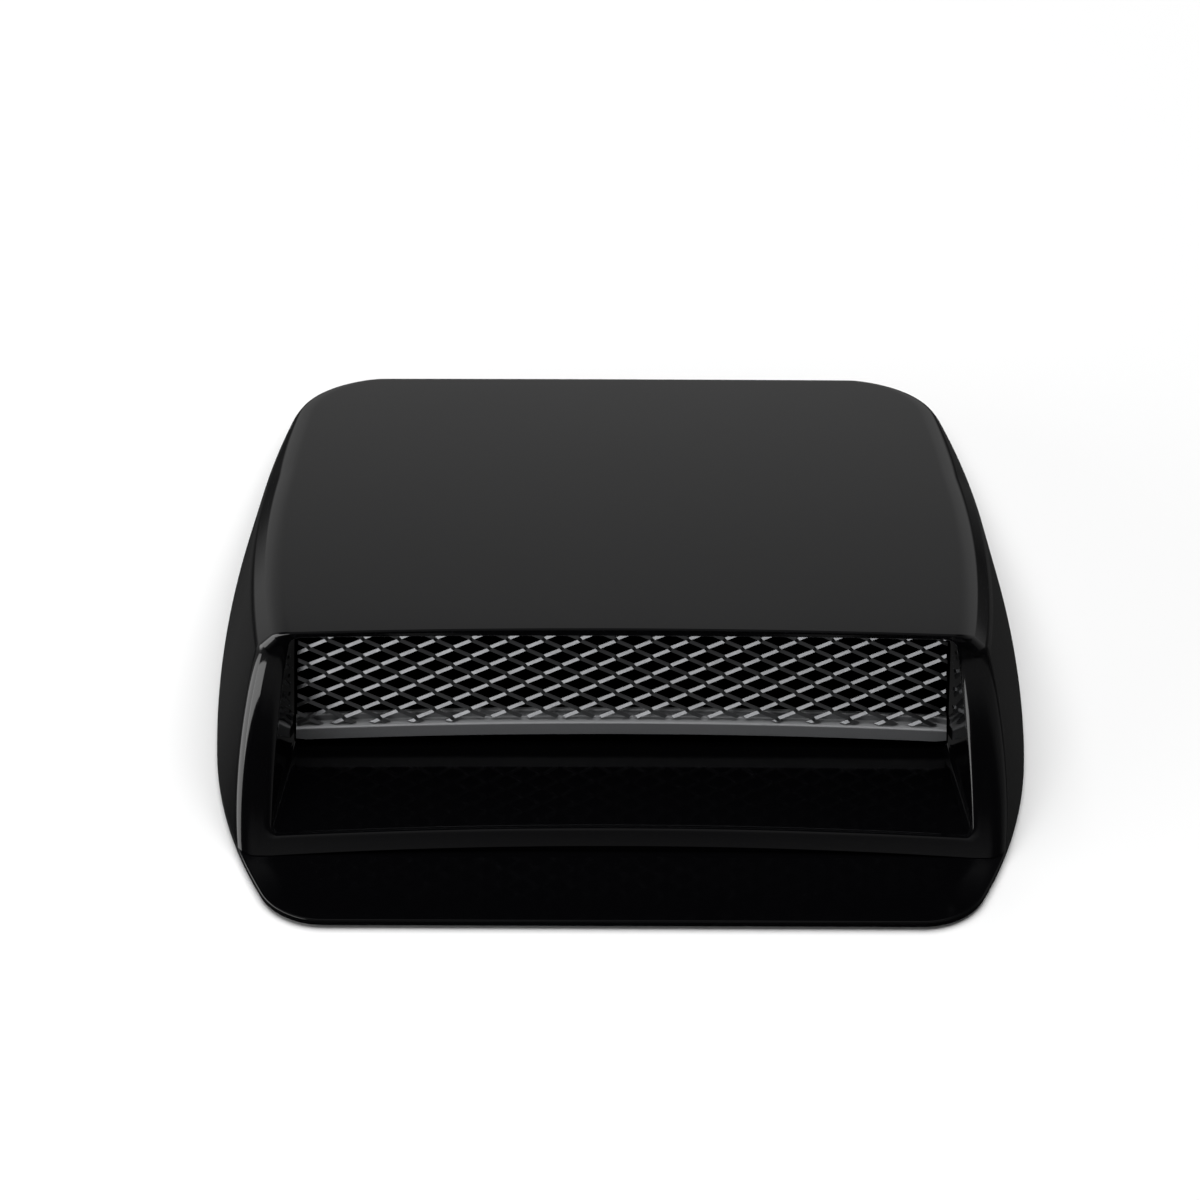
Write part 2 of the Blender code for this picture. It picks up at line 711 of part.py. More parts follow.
def post_height(across, depth):
    """Height at which a post ends inside the skin or the frame above it."""
    outer = section(depth)
    reach = abs(across) + POST_DIAMETER / 2
    heights = [z for x, z in outer if x <= reach] + [outer[-1][1]]
    wall = max((half_width(depth) - reach) / WALL_LEAN, 0.0)
    return min(min(heights), wall, frame_height(depth - POST_DIAMETER / 2)) - WALL / 2


def add_posts(cover, group):
    """Screw posts inside the cover, each with a pilot hole from below."""
    for number, (x, depth) in enumerate(post_places(), 1):
        at = (x, place(depth))
        top = RIM + post_height(x, depth)
        post = cylinder(f"post {number}", POST_DIAMETER / 2, RIM, top, at, group)
        join(cover, post)
    for number, (x, depth) in enumerate(post_places(), 1):
        at = (x, place(depth))
        top = min(PLATE_BOTTOM + SCREW_LENGTH + 2 * CLEARANCE, RIM + post_height(x, depth) - WALL / 2)
        hole = cylinder(f"pilot hole {number}", SCREW_SHANK / 2 + CLEARANCE, RIM - MM, top, at, group)
        cut(cover, hole)


def make_cover(group, tools, material):
    """The scoop's moulded cover."""
    cover = cover_block(group)
    cut(cover, duct_cutter(tools))
    cut(cover, cavity_cutter(tools))
    cut(cover, pocket_cutter(1, tools))
    cut(cover, pocket_cutter(-1, tools))
    cut(cover, floor_cutter(tools))
    cut(cover, sill_arch_cutter(tools))
    add_posts(cover, tools)
    finish(cover, material)
    return cover


def half_outline(first, last, inset, steps):
    """Right-hand outline points (x, depth) between two depths of the side."""
    return [(half_width(depth, inset), depth)
            for depth in (mix(first, last, step / steps) for step in range(steps + 1))]


def corner_points(rear, inset, steps):
    """Points (x, depth) of one rounded corner, from the side to the end edge."""
    radius = (REAR_CORNER_RADIUS if rear else FRONT_CORNER_RADIUS) - inset
    centre, centre_depth, start = corner_arc(rear, radius, inset)
    way = 1 if rear else -1
    low = math.asin(way * (start - centre_depth) / radius)
    points = []
    for step in range(steps + 1):
        angle = mix(low, math.pi / 2, step / steps)
        points.append((centre + radius * math.cos(angle), centre_depth + way * radius * math.sin(angle)))
    return points


def plate_outline(inset=0.0):
    """Whole outline of the base plate in world X and Y."""
    front = corner_points(False, inset, 8)[::-1]
    rear = corner_points(True, inset, 10)
    side = half_outline(front[-1][1], rear[0][1], inset, 22)[1:-1]
    right = front + side + rear
    left = [(-x, depth) for x, depth in reversed(right)]
    return [(x, place(depth)) for x, depth in right + left]


def plate_opening():
    """Opening inside the base plate's band, in world X and Y."""
    inset = PLATE_BAND_WIDTH
    rear = corner_points(True, inset, 8)
    first = PLATE_OPENING_DEPTH
    side = half_outline(first + PLATE_OPENING_RADIUS, rear[0][1], inset, 16)[:-1]
    edge = half_width(first + PLATE_OPENING_RADIUS, inset)
    corner = rounded((edge - PLATE_OPENING_RADIUS, first), (edge, first), side[0], 6)
    right = corner[:-1] + side + rear
    left = [(-x, depth) for x, depth in reversed(right)]
    return [(x, place(depth)) for x, depth in right + left]


def screw_profile(grow=0.0):
    """Countersunk screw's profile (radius, height), from its tip down to its head."""
    head = SCREW_HEAD / 2 + grow
    shank = SCREW_SHANK / 2 + grow
    low = PLATE_BOTTOM
    tip = low + SCREW_LENGTH + grow
    return [(0.0, tip), (shank, tip - SCREW_TIP), (shank, low + SCREW_HEAD_HEIGHT + grow),
            (head, low + grow), (head, low - grow)]


def make_plate(group, tools, material):
    """Base plate: the flat apron in front of the mouth and the band under the cover's rim."""
    plate = flat_body("base_plate", [plate_outline(), plate_opening()], PLATE_BOTTOM, PLATE_TOP, group)
    for number, (x, depth) in enumerate(post_places(), 1):
        profile = screw_profile(CLEARANCE) + [(0.0, PLATE_BOTTOM - CLEARANCE)]
        cut(plate, turned(f"countersink {number}", profile, (x, place(depth)), tools))
    edge = plate.modifiers.new("edge", "BEVEL")
    edge.width = PLATE_EDGE_RADIUS
    edge.segments = 1
    edge.limit_method = "ANGLE"
    edge.angle_limit = math.radians(60)
    finish(plate, material)
    return plate


def make_screws(group, material):
    """Countersunk screws that hold the cover to the base plate."""
    low = PLATE_BOTTOM
    socket = [(SCREW_SOCKET / 2, low), (SCREW_SOCKET / 2, low + SCREW_SOCKET_DEPTH),
              (0.0, low + SCREW_SOCKET_DEPTH)]
    for number, (x, depth) in enumerate(post_places(), 1):
        profile = screw_profile()[:-1] + socket
        screw = turned(f"cover_screw_{number}", profile, (x, place(depth)), group)
        finish(screw, material)


def tape_strip(name, inner, outer, group, material):
    """One strip of foam tape between two lines of points (x, depth)."""
    outline = [(x, place(depth)) for x, depth in outer + inner[::-1]]
    strip = flat_body(name, [outline], 0.0, TAPE_THICKNESS, group)
    finish(strip, material, smooth=False)
    return strip


def make_tapes(group, material):
    """Foam tape under the plate: one strip across the front, one across the rear, one at each side."""
    near = TAPE_EDGE_INSET
    far = TAPE_EDGE_INSET + TAPE_WIDTH
    front_half = corner_arc(False, FRONT_CORNER_RADIUS, 0.0)[0]
    rear_half = corner_arc(True, REAR_CORNER_RADIUS, 0.0)[0]
    tape_strip("tape_front", [(-front_half, far), (front_half, far)],
               [(-front_half, near), (front_half, near)], group, material)
    tape_strip("tape_rear", [(-rear_half, TOTAL_DEPTH - far), (rear_half, TOTAL_DEPTH - far)],
               [(-rear_half, TOTAL_DEPTH - near), (rear_half, TOTAL_DEPTH - near)], group, material)
    first = FRONT_CORNER_RADIUS
    last = TOTAL_DEPTH - REAR_CORNER_RADIUS
    for name, side in (("tape_left", -1), ("tape_right", 1)):
        outer = [(side * x, depth) for x, depth in half_outline(first, last, near, 16)]
        inner = [(side * x, depth) for x, depth in half_outline(first, last, far, 16)]
        tape_strip(name, inner, outer, group, material)


def make_rail(group, material):
    """Arched rail across the duct that the mesh stands on."""
    half = MESH_WIDTH / 2 - CLEARANCE
    steps = 14
    places = [half * (2 * step / steps - 1) for step in range(steps + 1)]
    low = RIM + RAIL_FOOT_HEIGHT
    bottom = [(x, low + arch(x, RAIL_ARCH)) for x in places]
    top = [(x, z + RAIL_HEIGHT) for x, z in reversed(bottom)]
    rail = flat_body("mesh_rail", [bottom + top], 0.0, RAIL_WIDTH, group)
    matrix = rail.matrix_world.copy()
    rail.data.transform(matrix)
    rail.matrix_world.identity()
    rail.rotation_euler = (math.pi / 2, 0.0, 0.0)
    rail.location = (0.0, place(MESH_DEPTH - MESH_SETBACK) + RAIL_WIDTH, 0.0)
    edge = rail.modifiers.new("edge", "BEVEL")
    edge.width = RAIL_EDGE_RADIUS
    edge.segments = 2
    edge.limit_method = "ANGLE"
    edge.angle_limit = math.radians(40)
    finish(rail, material)
    return rail


def mesh_limits(across):
    """Lowest and highest point of the mesh at a distance from the middle, above the rim."""
    half = MESH_WIDTH / 2
    low = RAIL_FOOT_HEIGHT + arch(across, RAIL_ARCH) + RAIL_HEIGHT + CLEARANCE
    high = top_height(DUCT_END) - WALL - CLEARANCE + crown(across, half)
    past = abs(across) - (half - MOUTH_TOP_RADIUS)
    if past > 0:
        high -= MOUTH_TOP_RADIUS - math.sqrt(max(MOUTH_TOP_RADIUS ** 2 - past ** 2, 0.0))
    return low, high


def clip_share(start, end):
    """Share of the way from start to end at which a strand leaves the mesh's cut edge."""
    half = MESH_WIDTH / 2 - MESH_SIDE_CLEARANCE
    share = STUB_SHARE
    if abs(end[0]) > half:
        share = min(share, (half - abs(start[0])) / (abs(end[0]) - abs(start[0])))
    low, high = mesh_limits(start[0])
    low, high = low + MESH_EDGE_MARGIN, high - MESH_EDGE_MARGIN
    if end[1] < low:
        share = min(share, (start[1] - low) / (start[1] - end[1]))
    if end[1] > high:
        share = min(share, (high - start[1]) / (end[1] - start[1]))
    return share


def knuckle_points(x, z):
    """Left, right, top and bottom points of a knuckle, as (x, z, depth offset)."""
    reach = KNUCKLE_HALF_LENGTH
    rise = KNUCKLE_HALF_HEIGHT
    return {"left": (x - reach, z, 0.0), "right": (x + reach, z, 0.0),
            "top": (x, z + rise, STRAND_TWIST), "bottom": (x, z - rise, -STRAND_TWIST)}


def make_mesh(group, material):
    """Raised expanded mesh: tilted strands between knuckles, cut to the duct."""
    half = MESH_WIDTH / 2 - MESH_SIDE_CLEARANCE - KNUCKLE_HALF_LENGTH - MESH_EDGE_MARGIN
    first_height = RAIL_FOOT_HEIGHT + RAIL_HEIGHT + MESH_ROW_PHASE
    columns = int(half / DIAMOND_LENGTH * 2) + 2
    rows = int(LIP_HEIGHT / DIAMOND_HEIGHT * 2) + 2
    margin = KNUCKLE_HALF_HEIGHT + MESH_EDGE_MARGIN
    knuckles = {}
    for row in range(-rows, rows):
        for column in range(-columns, columns):
            if (row + column) % 2:
                continue
            x = MESH_PHASE + column * DIAMOND_LENGTH / 2
            z = first_height + row * DIAMOND_HEIGHT / 2
            low, high = mesh_limits(x)
            if abs(x) < half and low + margin < z < high - margin:
                knuckles[(row, column)] = knuckle_points(x, z)
    points = []
    faces = []

    def add(corners):
        faces.append(tuple(range(len(points), len(points) + len(corners))))
        points.extend(corners)

    for (row, column), ends in knuckles.items():
        add([ends["left"], ends["bottom"], ends["right"], ends["top"]])
        for row_step, column_step in ((1, 1), (1, -1), (-1, 1), (-1, -1)):
            key = (row + row_step, column + column_step)
            if key in knuckles and row_step < 0:
                continue
            centre = (MESH_PHASE + key[1] * DIAMOND_LENGTH / 2, first_height + key[0] * DIAMOND_HEIGHT / 2)
            other = knuckles.get(key) or knuckle_points(*centre)
            side, back = ("right", "left") if column_step > 0 else ("left", "right")
            up, down = ("top", "bottom") if row_step > 0 else ("bottom", "top")
            lines = [(ends[side], other[down]), (ends[up], other[back])]
            if key not in knuckles:
                lines = [(start, mix(start, end, clip_share(start, end))) for start, end in lines]
            add([lines[0][0], lines[0][1], lines[1][1], lines[1][0]])
    world = [(x, place(MESH_DEPTH) + offset, RIM + z) for x, z, offset in points]
    mesh = build_mesh("mesh_grille", world, faces, group)
    thicken = mesh.modifiers.new("sheet", "SOLIDIFY")
    thicken.thickness = MESH_THICKNESS
    thicken.offset = 0.0
    mesh.data.materials.append(material)
    return mesh


def main():
    """Build every piece of the vent."""
    clear_scene()
    pieces = make_collection("car_bonnet_vent")
    tools = make_collection("cutters")
    gloss = make_material("gloss black plastic", (0.006, 0.006, 0.007), 0.12, 0.0)
    black_metal = make_material("grey coated mesh", (0.20, 0.20, 0.21), 0.35, 0.8)
    satin = make_material("satin grey plastic", (0.05, 0.05, 0.052), 0.4, 0.0)
    zinc = make_material("black zinc screws", (0.08, 0.08, 0.085), 0.35, 0.9)
    foam = make_material("grey foam tape", (0.12, 0.12, 0.125), 0.9, 0.0)
    make_cover(pieces, tools, gloss)
    make_plate(pieces, tools, gloss)
    make_screws(pieces, zinc)
    make_tapes(pieces, foam)
    make_rail(pieces, satin)
    make_mesh(pieces, black_metal)


main()
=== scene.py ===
"""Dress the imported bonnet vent: gloss cover, apron plate, raised mesh and rail, in a pale studio.

Depth runs from the apron's front edge (0) to the scoop's rear edge, along +Y, and the mouth
faces -Y. Heights of the cover, the mesh and the rail are above the cover's rim. All lengths
are metres, written as millimetres times MM.
"""

import logging
import math
from abc import ABC, abstractmethod
from collections.abc import Callable, Iterable
from dataclasses import dataclass, field
from enum import Enum

import bmesh
import bpy
from mathutils import Matrix, Vector


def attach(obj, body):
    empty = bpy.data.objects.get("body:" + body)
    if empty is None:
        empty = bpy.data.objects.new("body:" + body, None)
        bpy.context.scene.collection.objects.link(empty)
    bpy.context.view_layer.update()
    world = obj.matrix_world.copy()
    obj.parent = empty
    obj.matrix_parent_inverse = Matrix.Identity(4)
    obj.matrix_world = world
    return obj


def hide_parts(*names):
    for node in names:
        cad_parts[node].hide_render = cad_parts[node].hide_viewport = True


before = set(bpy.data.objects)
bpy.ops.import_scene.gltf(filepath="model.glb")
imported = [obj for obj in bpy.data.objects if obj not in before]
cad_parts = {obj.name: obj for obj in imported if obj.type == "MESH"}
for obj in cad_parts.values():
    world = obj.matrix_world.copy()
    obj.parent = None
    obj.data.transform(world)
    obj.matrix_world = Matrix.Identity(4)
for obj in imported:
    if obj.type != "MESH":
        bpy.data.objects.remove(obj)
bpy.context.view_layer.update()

MM = 0.001
WELD = 0.002 * MM             # points closer than this are one point
SLOPE_STEP = 0.1 * MM         # reach to each side over which the outline's slope is taken
CORNER_ROUNDS = 12            # rounds that find where the outline's rounded corner starts
FACE_ROUNDS = 36              # halvings that find the mouth frame's depth at a height
MOULDED_ANGLE = 34            # degrees; sharper edges of a moulded piece stay sharp
FLAT_WEIGHT = 80              # above 50, large faces count more than small ones when shaded
ROUND_WEIGHT = 0.5 ** 0.5     # the corner's pull at which a right angle gets a true circle

Pair = tuple[float, float]
Point = tuple[float, float, float]
Line = list[Point]

log = logging.getLogger("bonnet_vent")


class Side(Enum):
    """Which half of the vent, by the sign of its X."""

    RIGHT = 1
    LEFT = -1


class Corner(Enum):
    """Which end of the outline a rounded corner belongs to, by the way it points in depth."""

    REAR = 1
    FRONT = -1


# Numbers, points and lines

def mix(start: float | tuple, end: float | tuple, share: float) -> float | tuple:
    """Part of the way from one number or point to another.

    Args:
        start: Number or point at share 0.
        end: Number or point at share 1.
        share: How far along, from 0 to 1.

    Returns:
        The number or point in between.
    """
    if isinstance(start, tuple):
        return tuple(a + (b - a) * share for a, b in zip(start, end))
    return start + (end - start) * share


def ease(value: float) -> float:
    """Smooth step from 0 to 1."""
    value = min(max(value, 0.0), 1.0)
    return value * value * (3 - 2 * value)


def conic(before: tuple, corner: tuple, after: tuple, share: float) -> tuple:
    """Point of the arc that rounds a corner.

    Args:
        before: Where the arc leaves the first side.
        corner: The sharp corner.
        after: Where the arc meets the second side.
        share: How far along the arc, from 0 to 1.

    Returns:
        The point, with as many numbers as the corner has.
    """
    a = (1 - share) ** 2
    b = 2 * ROUND_WEIGHT * share * (1 - share)
    c = share ** 2
    return tuple((a * p + b * q + c * r) / (a + b + c) for p, q, r in zip(before, corner, after))


def rounded(before: tuple, corner: tuple, after: tuple, steps: int) -> list[tuple]:
    """Points of the arc that rounds a corner, both ends included.

    Args:
        before: Where the arc leaves the first side.
        corner: The sharp corner.
        after: Where the arc meets the second side.
        steps: Number of steps along the arc.

    Returns:
        The points in order.
    """
    return [conic(before, corner, after, step / steps) for step in range(steps + 1)]


def toward(start: tuple, end: tuple, length: float) -> tuple:
    """Point at a length from start on the way to end, no further than half the way.

    Args:
        start: First point.
        end: Second point.
        length: Distance to go.

    Returns:
        The point.
    """
    whole = math.dist(start, end)
    return start if whole == 0 else mix(start, end, min(length / whole, 0.5))


def arc_fall(past: float, radius: float) -> float:
    """How far a rounded edge has fallen at a distance past the start of its arc."""
    return radius - math.sqrt(max(radius ** 2 - past ** 2, 0.0)) if past > 0 else 0.0


@dataclass(frozen=True)
class Fineness:
    """How many steps each curved stretch of the cover has."""

    wall: int = 26
    crease: int = 6
    shoulder: int = 9
    top: int = 36
    stations: int = 44
    rear: int = 22
    roll: int = 8
    face: int = 7
    duct: int = 12
    valley: int = 4
    foot: int = 6
    sill: int = 36
    hollow: int = 26
    hollow_rear: int = 12


@dataclass(frozen=True)
class ScoopForm:
    """Sizes and curves that the cover, the plate, the mesh and the rail share."""

    total_depth: float = 283.6 * MM
    widest_width: float = 275.0 * MM
    widest_depth: float = 90.3 * MM
    front_width: float = 233.2 * MM
    rear_width: float = 207.2 * MM
    front_fullness: float = 2.04
    rear_fullness: float = 1.98
    front_radius: float = 22.6 * MM
    rear_radius: float = 41.3 * MM
    clearance: float = 0.3 * MM
    tape_thickness: float = 1.2 * MM
    plate_thickness: float = 2.5 * MM
    face_start: float = 33.5 * MM
    lip_depth: float = 73.1 * MM
    lip_height: float = 65.0 * MM
    lip_thickness: float = 3.9 * MM
    pull_low: Pair = (23.0 * MM, 16.0 * MM)
    pull_high: Pair = (10.5 * MM, -13.0 * MM)
    rear_edge_height: float = 3.8 * MM
    rear_edge_radius: float = 2.4 * MM
    top_bow: float = 0.20
    top_crown: float = 2.2 * MM
    wall_lean: float = 0.235
    band_width: float = 7.2 * MM
    band_drop: float = 9.0 * MM
    band_share: float = 0.30
    shoulder_radius: float = 4.0 * MM
    least_shoulder_radius: float = 0.5 * MM
    crease_radius: float = 2.2 * MM
    least_crease_radius: float = 0.3 * MM
    wall: float = 2.5 * MM
    mouth_top_width: float = 224.0 * MM
    mouth_bottom_width: float = 238.4 * MM
    mouth_fullness: float = 1.6
    mouth_top_radius: float = 4.0 * MM
    mouth_bottom_radius: float = 2.2 * MM
    mesh_depth: float = 83.1 * MM
    duct_width: float = 222.0 * MM
    duct_tail: float = 3.0 * MM

    @property
    def plate_bottom(self) -> float:
        """Height of the plate's underside above the bonnet."""
        return self.tape_thickness + self.clearance

    @property
    def plate_top(self) -> float:
        """Height of the plate's upper face above the bonnet."""
        return self.plate_bottom + self.plate_thickness

    @property
    def rim(self) -> float:
        """Height of the cover's rim above the bonnet."""
        return self.plate_top + self.clearance

    @property
    def duct_end(self) -> float:
        """Depth at which the duct opens into the hollow."""
        return self.mesh_depth + self.duct_tail

    def place(self, depth: float) -> float:
        """World Y of a depth."""
        return depth - self.total_depth / 2

    def world(self, x: float, depth: float, height: float) -> Point:
        """World place of a point given by its depth and its height above the rim."""
        return (x, self.place(depth), self.rim + height)

    def side_line(self, depth: float) -> float:
        """Half width of the outline before its corners are rounded.

        Args:
            depth: Depth of the point.

        Returns:
            The half width.
        """
        past = depth - self.widest_depth
        if past > 0:
            end, run = self.rear_width, past / (self.total_depth - self.widest_depth)
            fullness = self.rear_fullness
        else:
            end, run = self.front_width, -past / self.widest_depth
            fullness = self.front_fullness
        return self.widest_width / 2 - (self.widest_width - end) / 2 * run ** fullness

    def side_angle(self, depth: float) -> float:
        """Angle between the side line and the depth axis, in radians."""
        change = self.side_line(depth + SLOPE_STEP) - self.side_line(depth - SLOPE_STEP)
        return math.atan(change / (2 * SLOPE_STEP))

    def corner_arc(self, corner: Corner,
                   inset: float = 0.0) -> tuple[float, float, float, float]:
        """Arc that rounds one corner of the outline.

        Args:
            corner: The end it belongs to.
            inset: Distance that the outline is drawn in.

        Returns:
            The centre's half width and depth, the depth where the arc starts, and its radius.
        """
        rear = corner is Corner.REAR
        radius = (self.rear_radius if rear else self.front_radius) - inset
        end = self.total_depth - inset if rear else inset
        centre_depth = end - corner.value * radius
        start = centre_depth
        for _ in range(CORNER_ROUNDS):
            start = centre_depth - radius * math.sin(self.side_angle(start))
        centre = self.side_line(start) - inset - radius * math.cos(self.side_angle(start))
        return centre, centre_depth, start, radius

    def half_width(self, depth: float, inset: float = 0.0) -> float:
        """Half width of the outline, with its rear corner rounded.

        Args:
            depth: Depth of the point.
            inset: Distance that the outline is drawn in.

        Returns:
            The half width.
        """
        centre, centre_depth, start, radius = self.corner_arc(Corner.REAR, inset)
        if depth <= start:
            return self.side_line(depth) - inset
        rise = min(depth - centre_depth, radius)
        return centre + math.sqrt(max(radius ** 2 - rise ** 2, 0.0))

    def stations(self, first: float, steps: int, rear_steps: int,
                 inset: float = 0.0) -> list[float]:
        """Depths of the cross-sections, close together round the rear corner.

        Args:
            first: Depth of the first one.
            steps: Steps along the side.
            rear_steps: Steps round the corner.
            inset: Distance that the outline is drawn in.

        Returns:
            The depths in order.
        """
        _, centre_depth, start, radius = self.corner_arc(Corner.REAR, inset)
        depths = [mix(first, start, step / steps) for step in range(steps)]
        low = math.asin((start - centre_depth) / radius)
        for step in range(rear_steps + 1):
            angle = mix(low, math.pi / 2, step / rear_steps)
            depths.append(centre_depth + radius * math.sin(angle))
        return depths

    def face_curve(self, share: float) -> Pair:
        """Point of the mouth frame's bowed side profile.

        Args:
            share: How far up the curve, from 0 to 1.

        Returns:
            Its depth and height.
        """
        foot = (self.face_start, 0.0)
        head = (self.lip_depth, self.lip_height)
        low = (foot[0] + self.pull_low[0], foot[1] + self.pull_low[1])
        high = (head[0] + self.pull_high[0], head[1] + self.pull_high[1])
        corners = (foot, low, high, head)
        rest = 1 - share
        weights = (rest ** 3, 3 * rest ** 2 * share, 3 * rest * share ** 2, share ** 3)
        return tuple(sum(w * c[axis] for w, c in zip(weights, corners)) for axis in (0, 1))

    def face_depth(self, height: float) -> float:
        """Depth of the mouth frame at a height above the rim.

        Args:
            height: Height above the rim.

        Returns:
            The depth of the bowed face there.
        """
        if height <= 0:
            return self.face_start
        if height >= self.lip_height:
            return self.lip_depth
        low, high = 0.0, 1.0
        for _ in range(FACE_ROUNDS):
            middle = (low + high) / 2
            if self.face_curve(middle)[1] < height:
                low = middle
            else:
                high = middle
        return self.face_curve(low)[0]

    def top_height(self, depth: float) -> float:
        """Height of the top's side edges above the rim.

        Args:
            depth: Depth of the point.

        Returns:
            The height there.
        """
        if depth <= self.lip_depth:
            return self.lip_height
        run = (depth - self.lip_depth) / (self.total_depth - self.lip_depth)
        fall = (1 - self.top_bow) * run + self.top_bow * run ** 2
        height = self.lip_height - (self.lip_height - self.rear_edge_height) * fall
        past = depth - (self.total_depth - self.rear_edge_radius)
        return height - arc_fall(past, self.rear_edge_radius)

    def crown(self, across: float, half: float, share: float = 1.0) -> float:
        """Rise of the crowned top at a distance from the middle."""
        return self.top_crown * share * (1 - min(abs(across) / half, 1.0) ** 2)

    def arch(self, across: float, rise: float) -> float:
        """Rise of an arched bar at a distance from the middle."""
        return rise * (1 - min(abs(across) / (self.mouth_bottom_width / 2), 1.0) ** 2)

    def mouth_half_width(self, height: float) -> float:
        """Half width of the mouth's opening at a height above the rim.

        Args:
            height: Height above the rim.

        Returns:
            The half width.
        """
        share = min(max(height / self.lip_height, 0.0), 1.0)
        change = (self.mouth_bottom_width - self.mouth_top_width) / 2
        return self.mouth_bottom_width / 2 - change * share ** self.mouth_fullness


@dataclass(frozen=True)
class Section:
    """One half cross-section of the cover, from the rim over the shoulder to the middle."""

    form: ScoopForm
    fine: Fineness
    depth: float
    inset: float = 0.0
    inset_run: float = 0.3            # share of the inset by which its top is taken further back

    def corners(self) -> tuple[Pair, ...]:
        """Corner points (half width, height) that the section is drawn from.

        Returns:
            The foot, the crease's three points and the shoulder's three points.
        """
        form = self.form
        foot = form.half_width(self.depth, self.inset)
        top = form.top_height(self.depth + self.inset * self.inset_run) - self.inset
        drop = min(form.band_drop, top * form.band_share)
        crease = (foot - form.wall_lean * (top - drop), top - drop)
        edge = (crease[0] - form.band_width * drop / form.band_drop, top)
        crease_round = max(form.crease_radius - self.inset, form.least_crease_radius)
        edge_round = max(form.shoulder_radius - self.inset, form.least_shoulder_radius)
        return ((foot, 0.0), toward(crease, (foot, 0.0), crease_round), crease,
                toward(crease, edge, crease_round), toward(edge, crease, edge_round), edge,
                toward(edge, (edge[0] / 2, top), edge_round))

    def points(self, wanted: Iterable[int] | None = None) -> list[Pair]:
        """Points (half width, height) of the section.

        Args:
            wanted: Numbers of the points to give, all of them if left out.

        Returns:
            The points in order, from the rim to the middle.
        """
        fine, form = self.fine, self.form
        base, crease_in, crease, crease_out, edge_in, edge, edge_out = self.corners()
        first_arc = fine.wall
        second_arc = first_arc + fine.crease + 1
        top_start = second_arc + fine.shoulder + 1
        found = []
        for number in range(top_start + fine.top) if wanted is None else wanted:
            if number < first_arc:
                found.append(mix(base, crease_in, number / fine.wall))
            elif number < second_arc:
                share = (number - first_arc) / fine.crease
                found.append(conic(crease_in, crease, crease_out, share))
            elif number < top_start:
                share = (number - second_arc) / fine.shoulder
                found.append(conic(edge_in, edge, edge_out, share))
            else:
                across = edge_out[0] * (1 - (number - top_start + 1) / fine.top)
                lift = form.crown(across, edge_out[0], edge[1] / form.lip_height)
                found.append((across, edge[1] + lift))
        return found

    def point(self, number: int) -> Pair:
        """One point (half width, height) of the section."""
        return self.points([number])[0]


# Meshes

@dataclass
class MeshMaker:
    """Collects faces on the right half, mirrors them, and makes one closed mesh."""

    points: Line = field(default_factory=list)
    faces: list[tuple[int, ...]] = field(default_factory=list)

    def polygon(self, corners: Line) -> None:
        """Add one face with its own points.

        Args:
            corners: Its corners in order.
        """
        first = len(self.points)
        self.points.extend(corners)
        self.faces.append(tuple(range(first, first + len(corners))))

    def grid(self, lines: list[Line], closed: bool = False, mirrored: bool = False) -> None:
        """Add the faces between lines of equally many points.

        Args:
            lines: The lines side by side.
            closed: Whether each line joins its own start.
            mirrored: Whether the left half gets the same faces.
        """
        for sign in (1, -1) if mirrored else (1,):
            first = len(self.points)
            count = len(lines[0])
            self.points.extend((sign * x, y, z) for line in lines for x, y, z in line)
            for row in range(len(lines) - 1):
                for step in range(count if closed else count - 1):
                    after = (step + 1) % count
                    low = first + row * count
                    high = low + count
                    self.faces.append((low + step, low + after, high + after, high + step))

    def build(self, name: str) -> bpy.types.Object:
        """Make the object, with its points welded and its faces turned outward.

        Args:
            name: Name of the object.

        Returns:
            The new object, linked into the scene.
        """
        mesh = bpy.data.meshes.new(name)
        mesh.from_pydata(self.points, [], self.faces)
        close_up(mesh)
        return placed(name, mesh)


def placed(name: str, data: bpy.types.ID) -> bpy.types.Object:
    """Make an object of a mesh, curve, lamp or camera, linked into the scene.

    Args:
        name: Name of the object.
        data: What it shows.

    Returns:
        The object.
    """
    thing = bpy.data.objects.new(name, data)
    bpy.context.scene.collection.objects.link(thing)
    return thing


def close_up(mesh: bpy.types.Mesh, flat_angle: float | None = None) -> None:
    """Weld a mesh's points and turn its faces outward.

    Args:
        mesh: The mesh.
        flat_angle: Radians up to which faces count as one flat face, or None to join none.
    """
    work = bmesh.new()
    work.from_mesh(mesh)
    bmesh.ops.remove_doubles(work, verts=work.verts, dist=WELD)
    if flat_angle is not None:
        bmesh.ops.dissolve_limit(work, angle_limit=flat_angle, verts=work.verts, edges=work.edges)
    bmesh.ops.recalc_face_normals(work, faces=work.faces)
    work.to_mesh(mesh)
    work.free()


def lofted(name: str, rings: list[Line]) -> bpy.types.Object:
    """Make a closed body through rings of equally many points, with flat ends.

    Args:
        name: Name of the object.
        rings: The rings in order.

    Returns:
        The object.
    """
    maker = MeshMaker()
    maker.grid(rings, closed=True)
    maker.polygon(rings[0])
    maker.polygon(rings[-1])
    return maker.build(name)


def whole_ring(half: Line) -> Line:
    """Closed ring from a half ring whose first and last points lie at X = 0."""
    return half + [(-x, y, z) for x, y, z in reversed(half[1:-1])]


def evaluated_mesh(thing: bpy.types.Object) -> bpy.types.Mesh:
    """New mesh of what an object shows, with its curves and modifiers worked out."""
    bpy.context.view_layer.update()
    return bpy.data.meshes.new_from_object(
        thing.evaluated_get(bpy.context.evaluated_depsgraph_get()))


def apply_modifiers(thing: bpy.types.Object) -> None:
    """Replace an object's mesh by what its modifiers make of it.

    Args:
        thing: The object, which loses its modifiers.
    """
    made = evaluated_mesh(thing)
    thing.modifiers.clear()
    thing.data = made
    made.name = thing.name


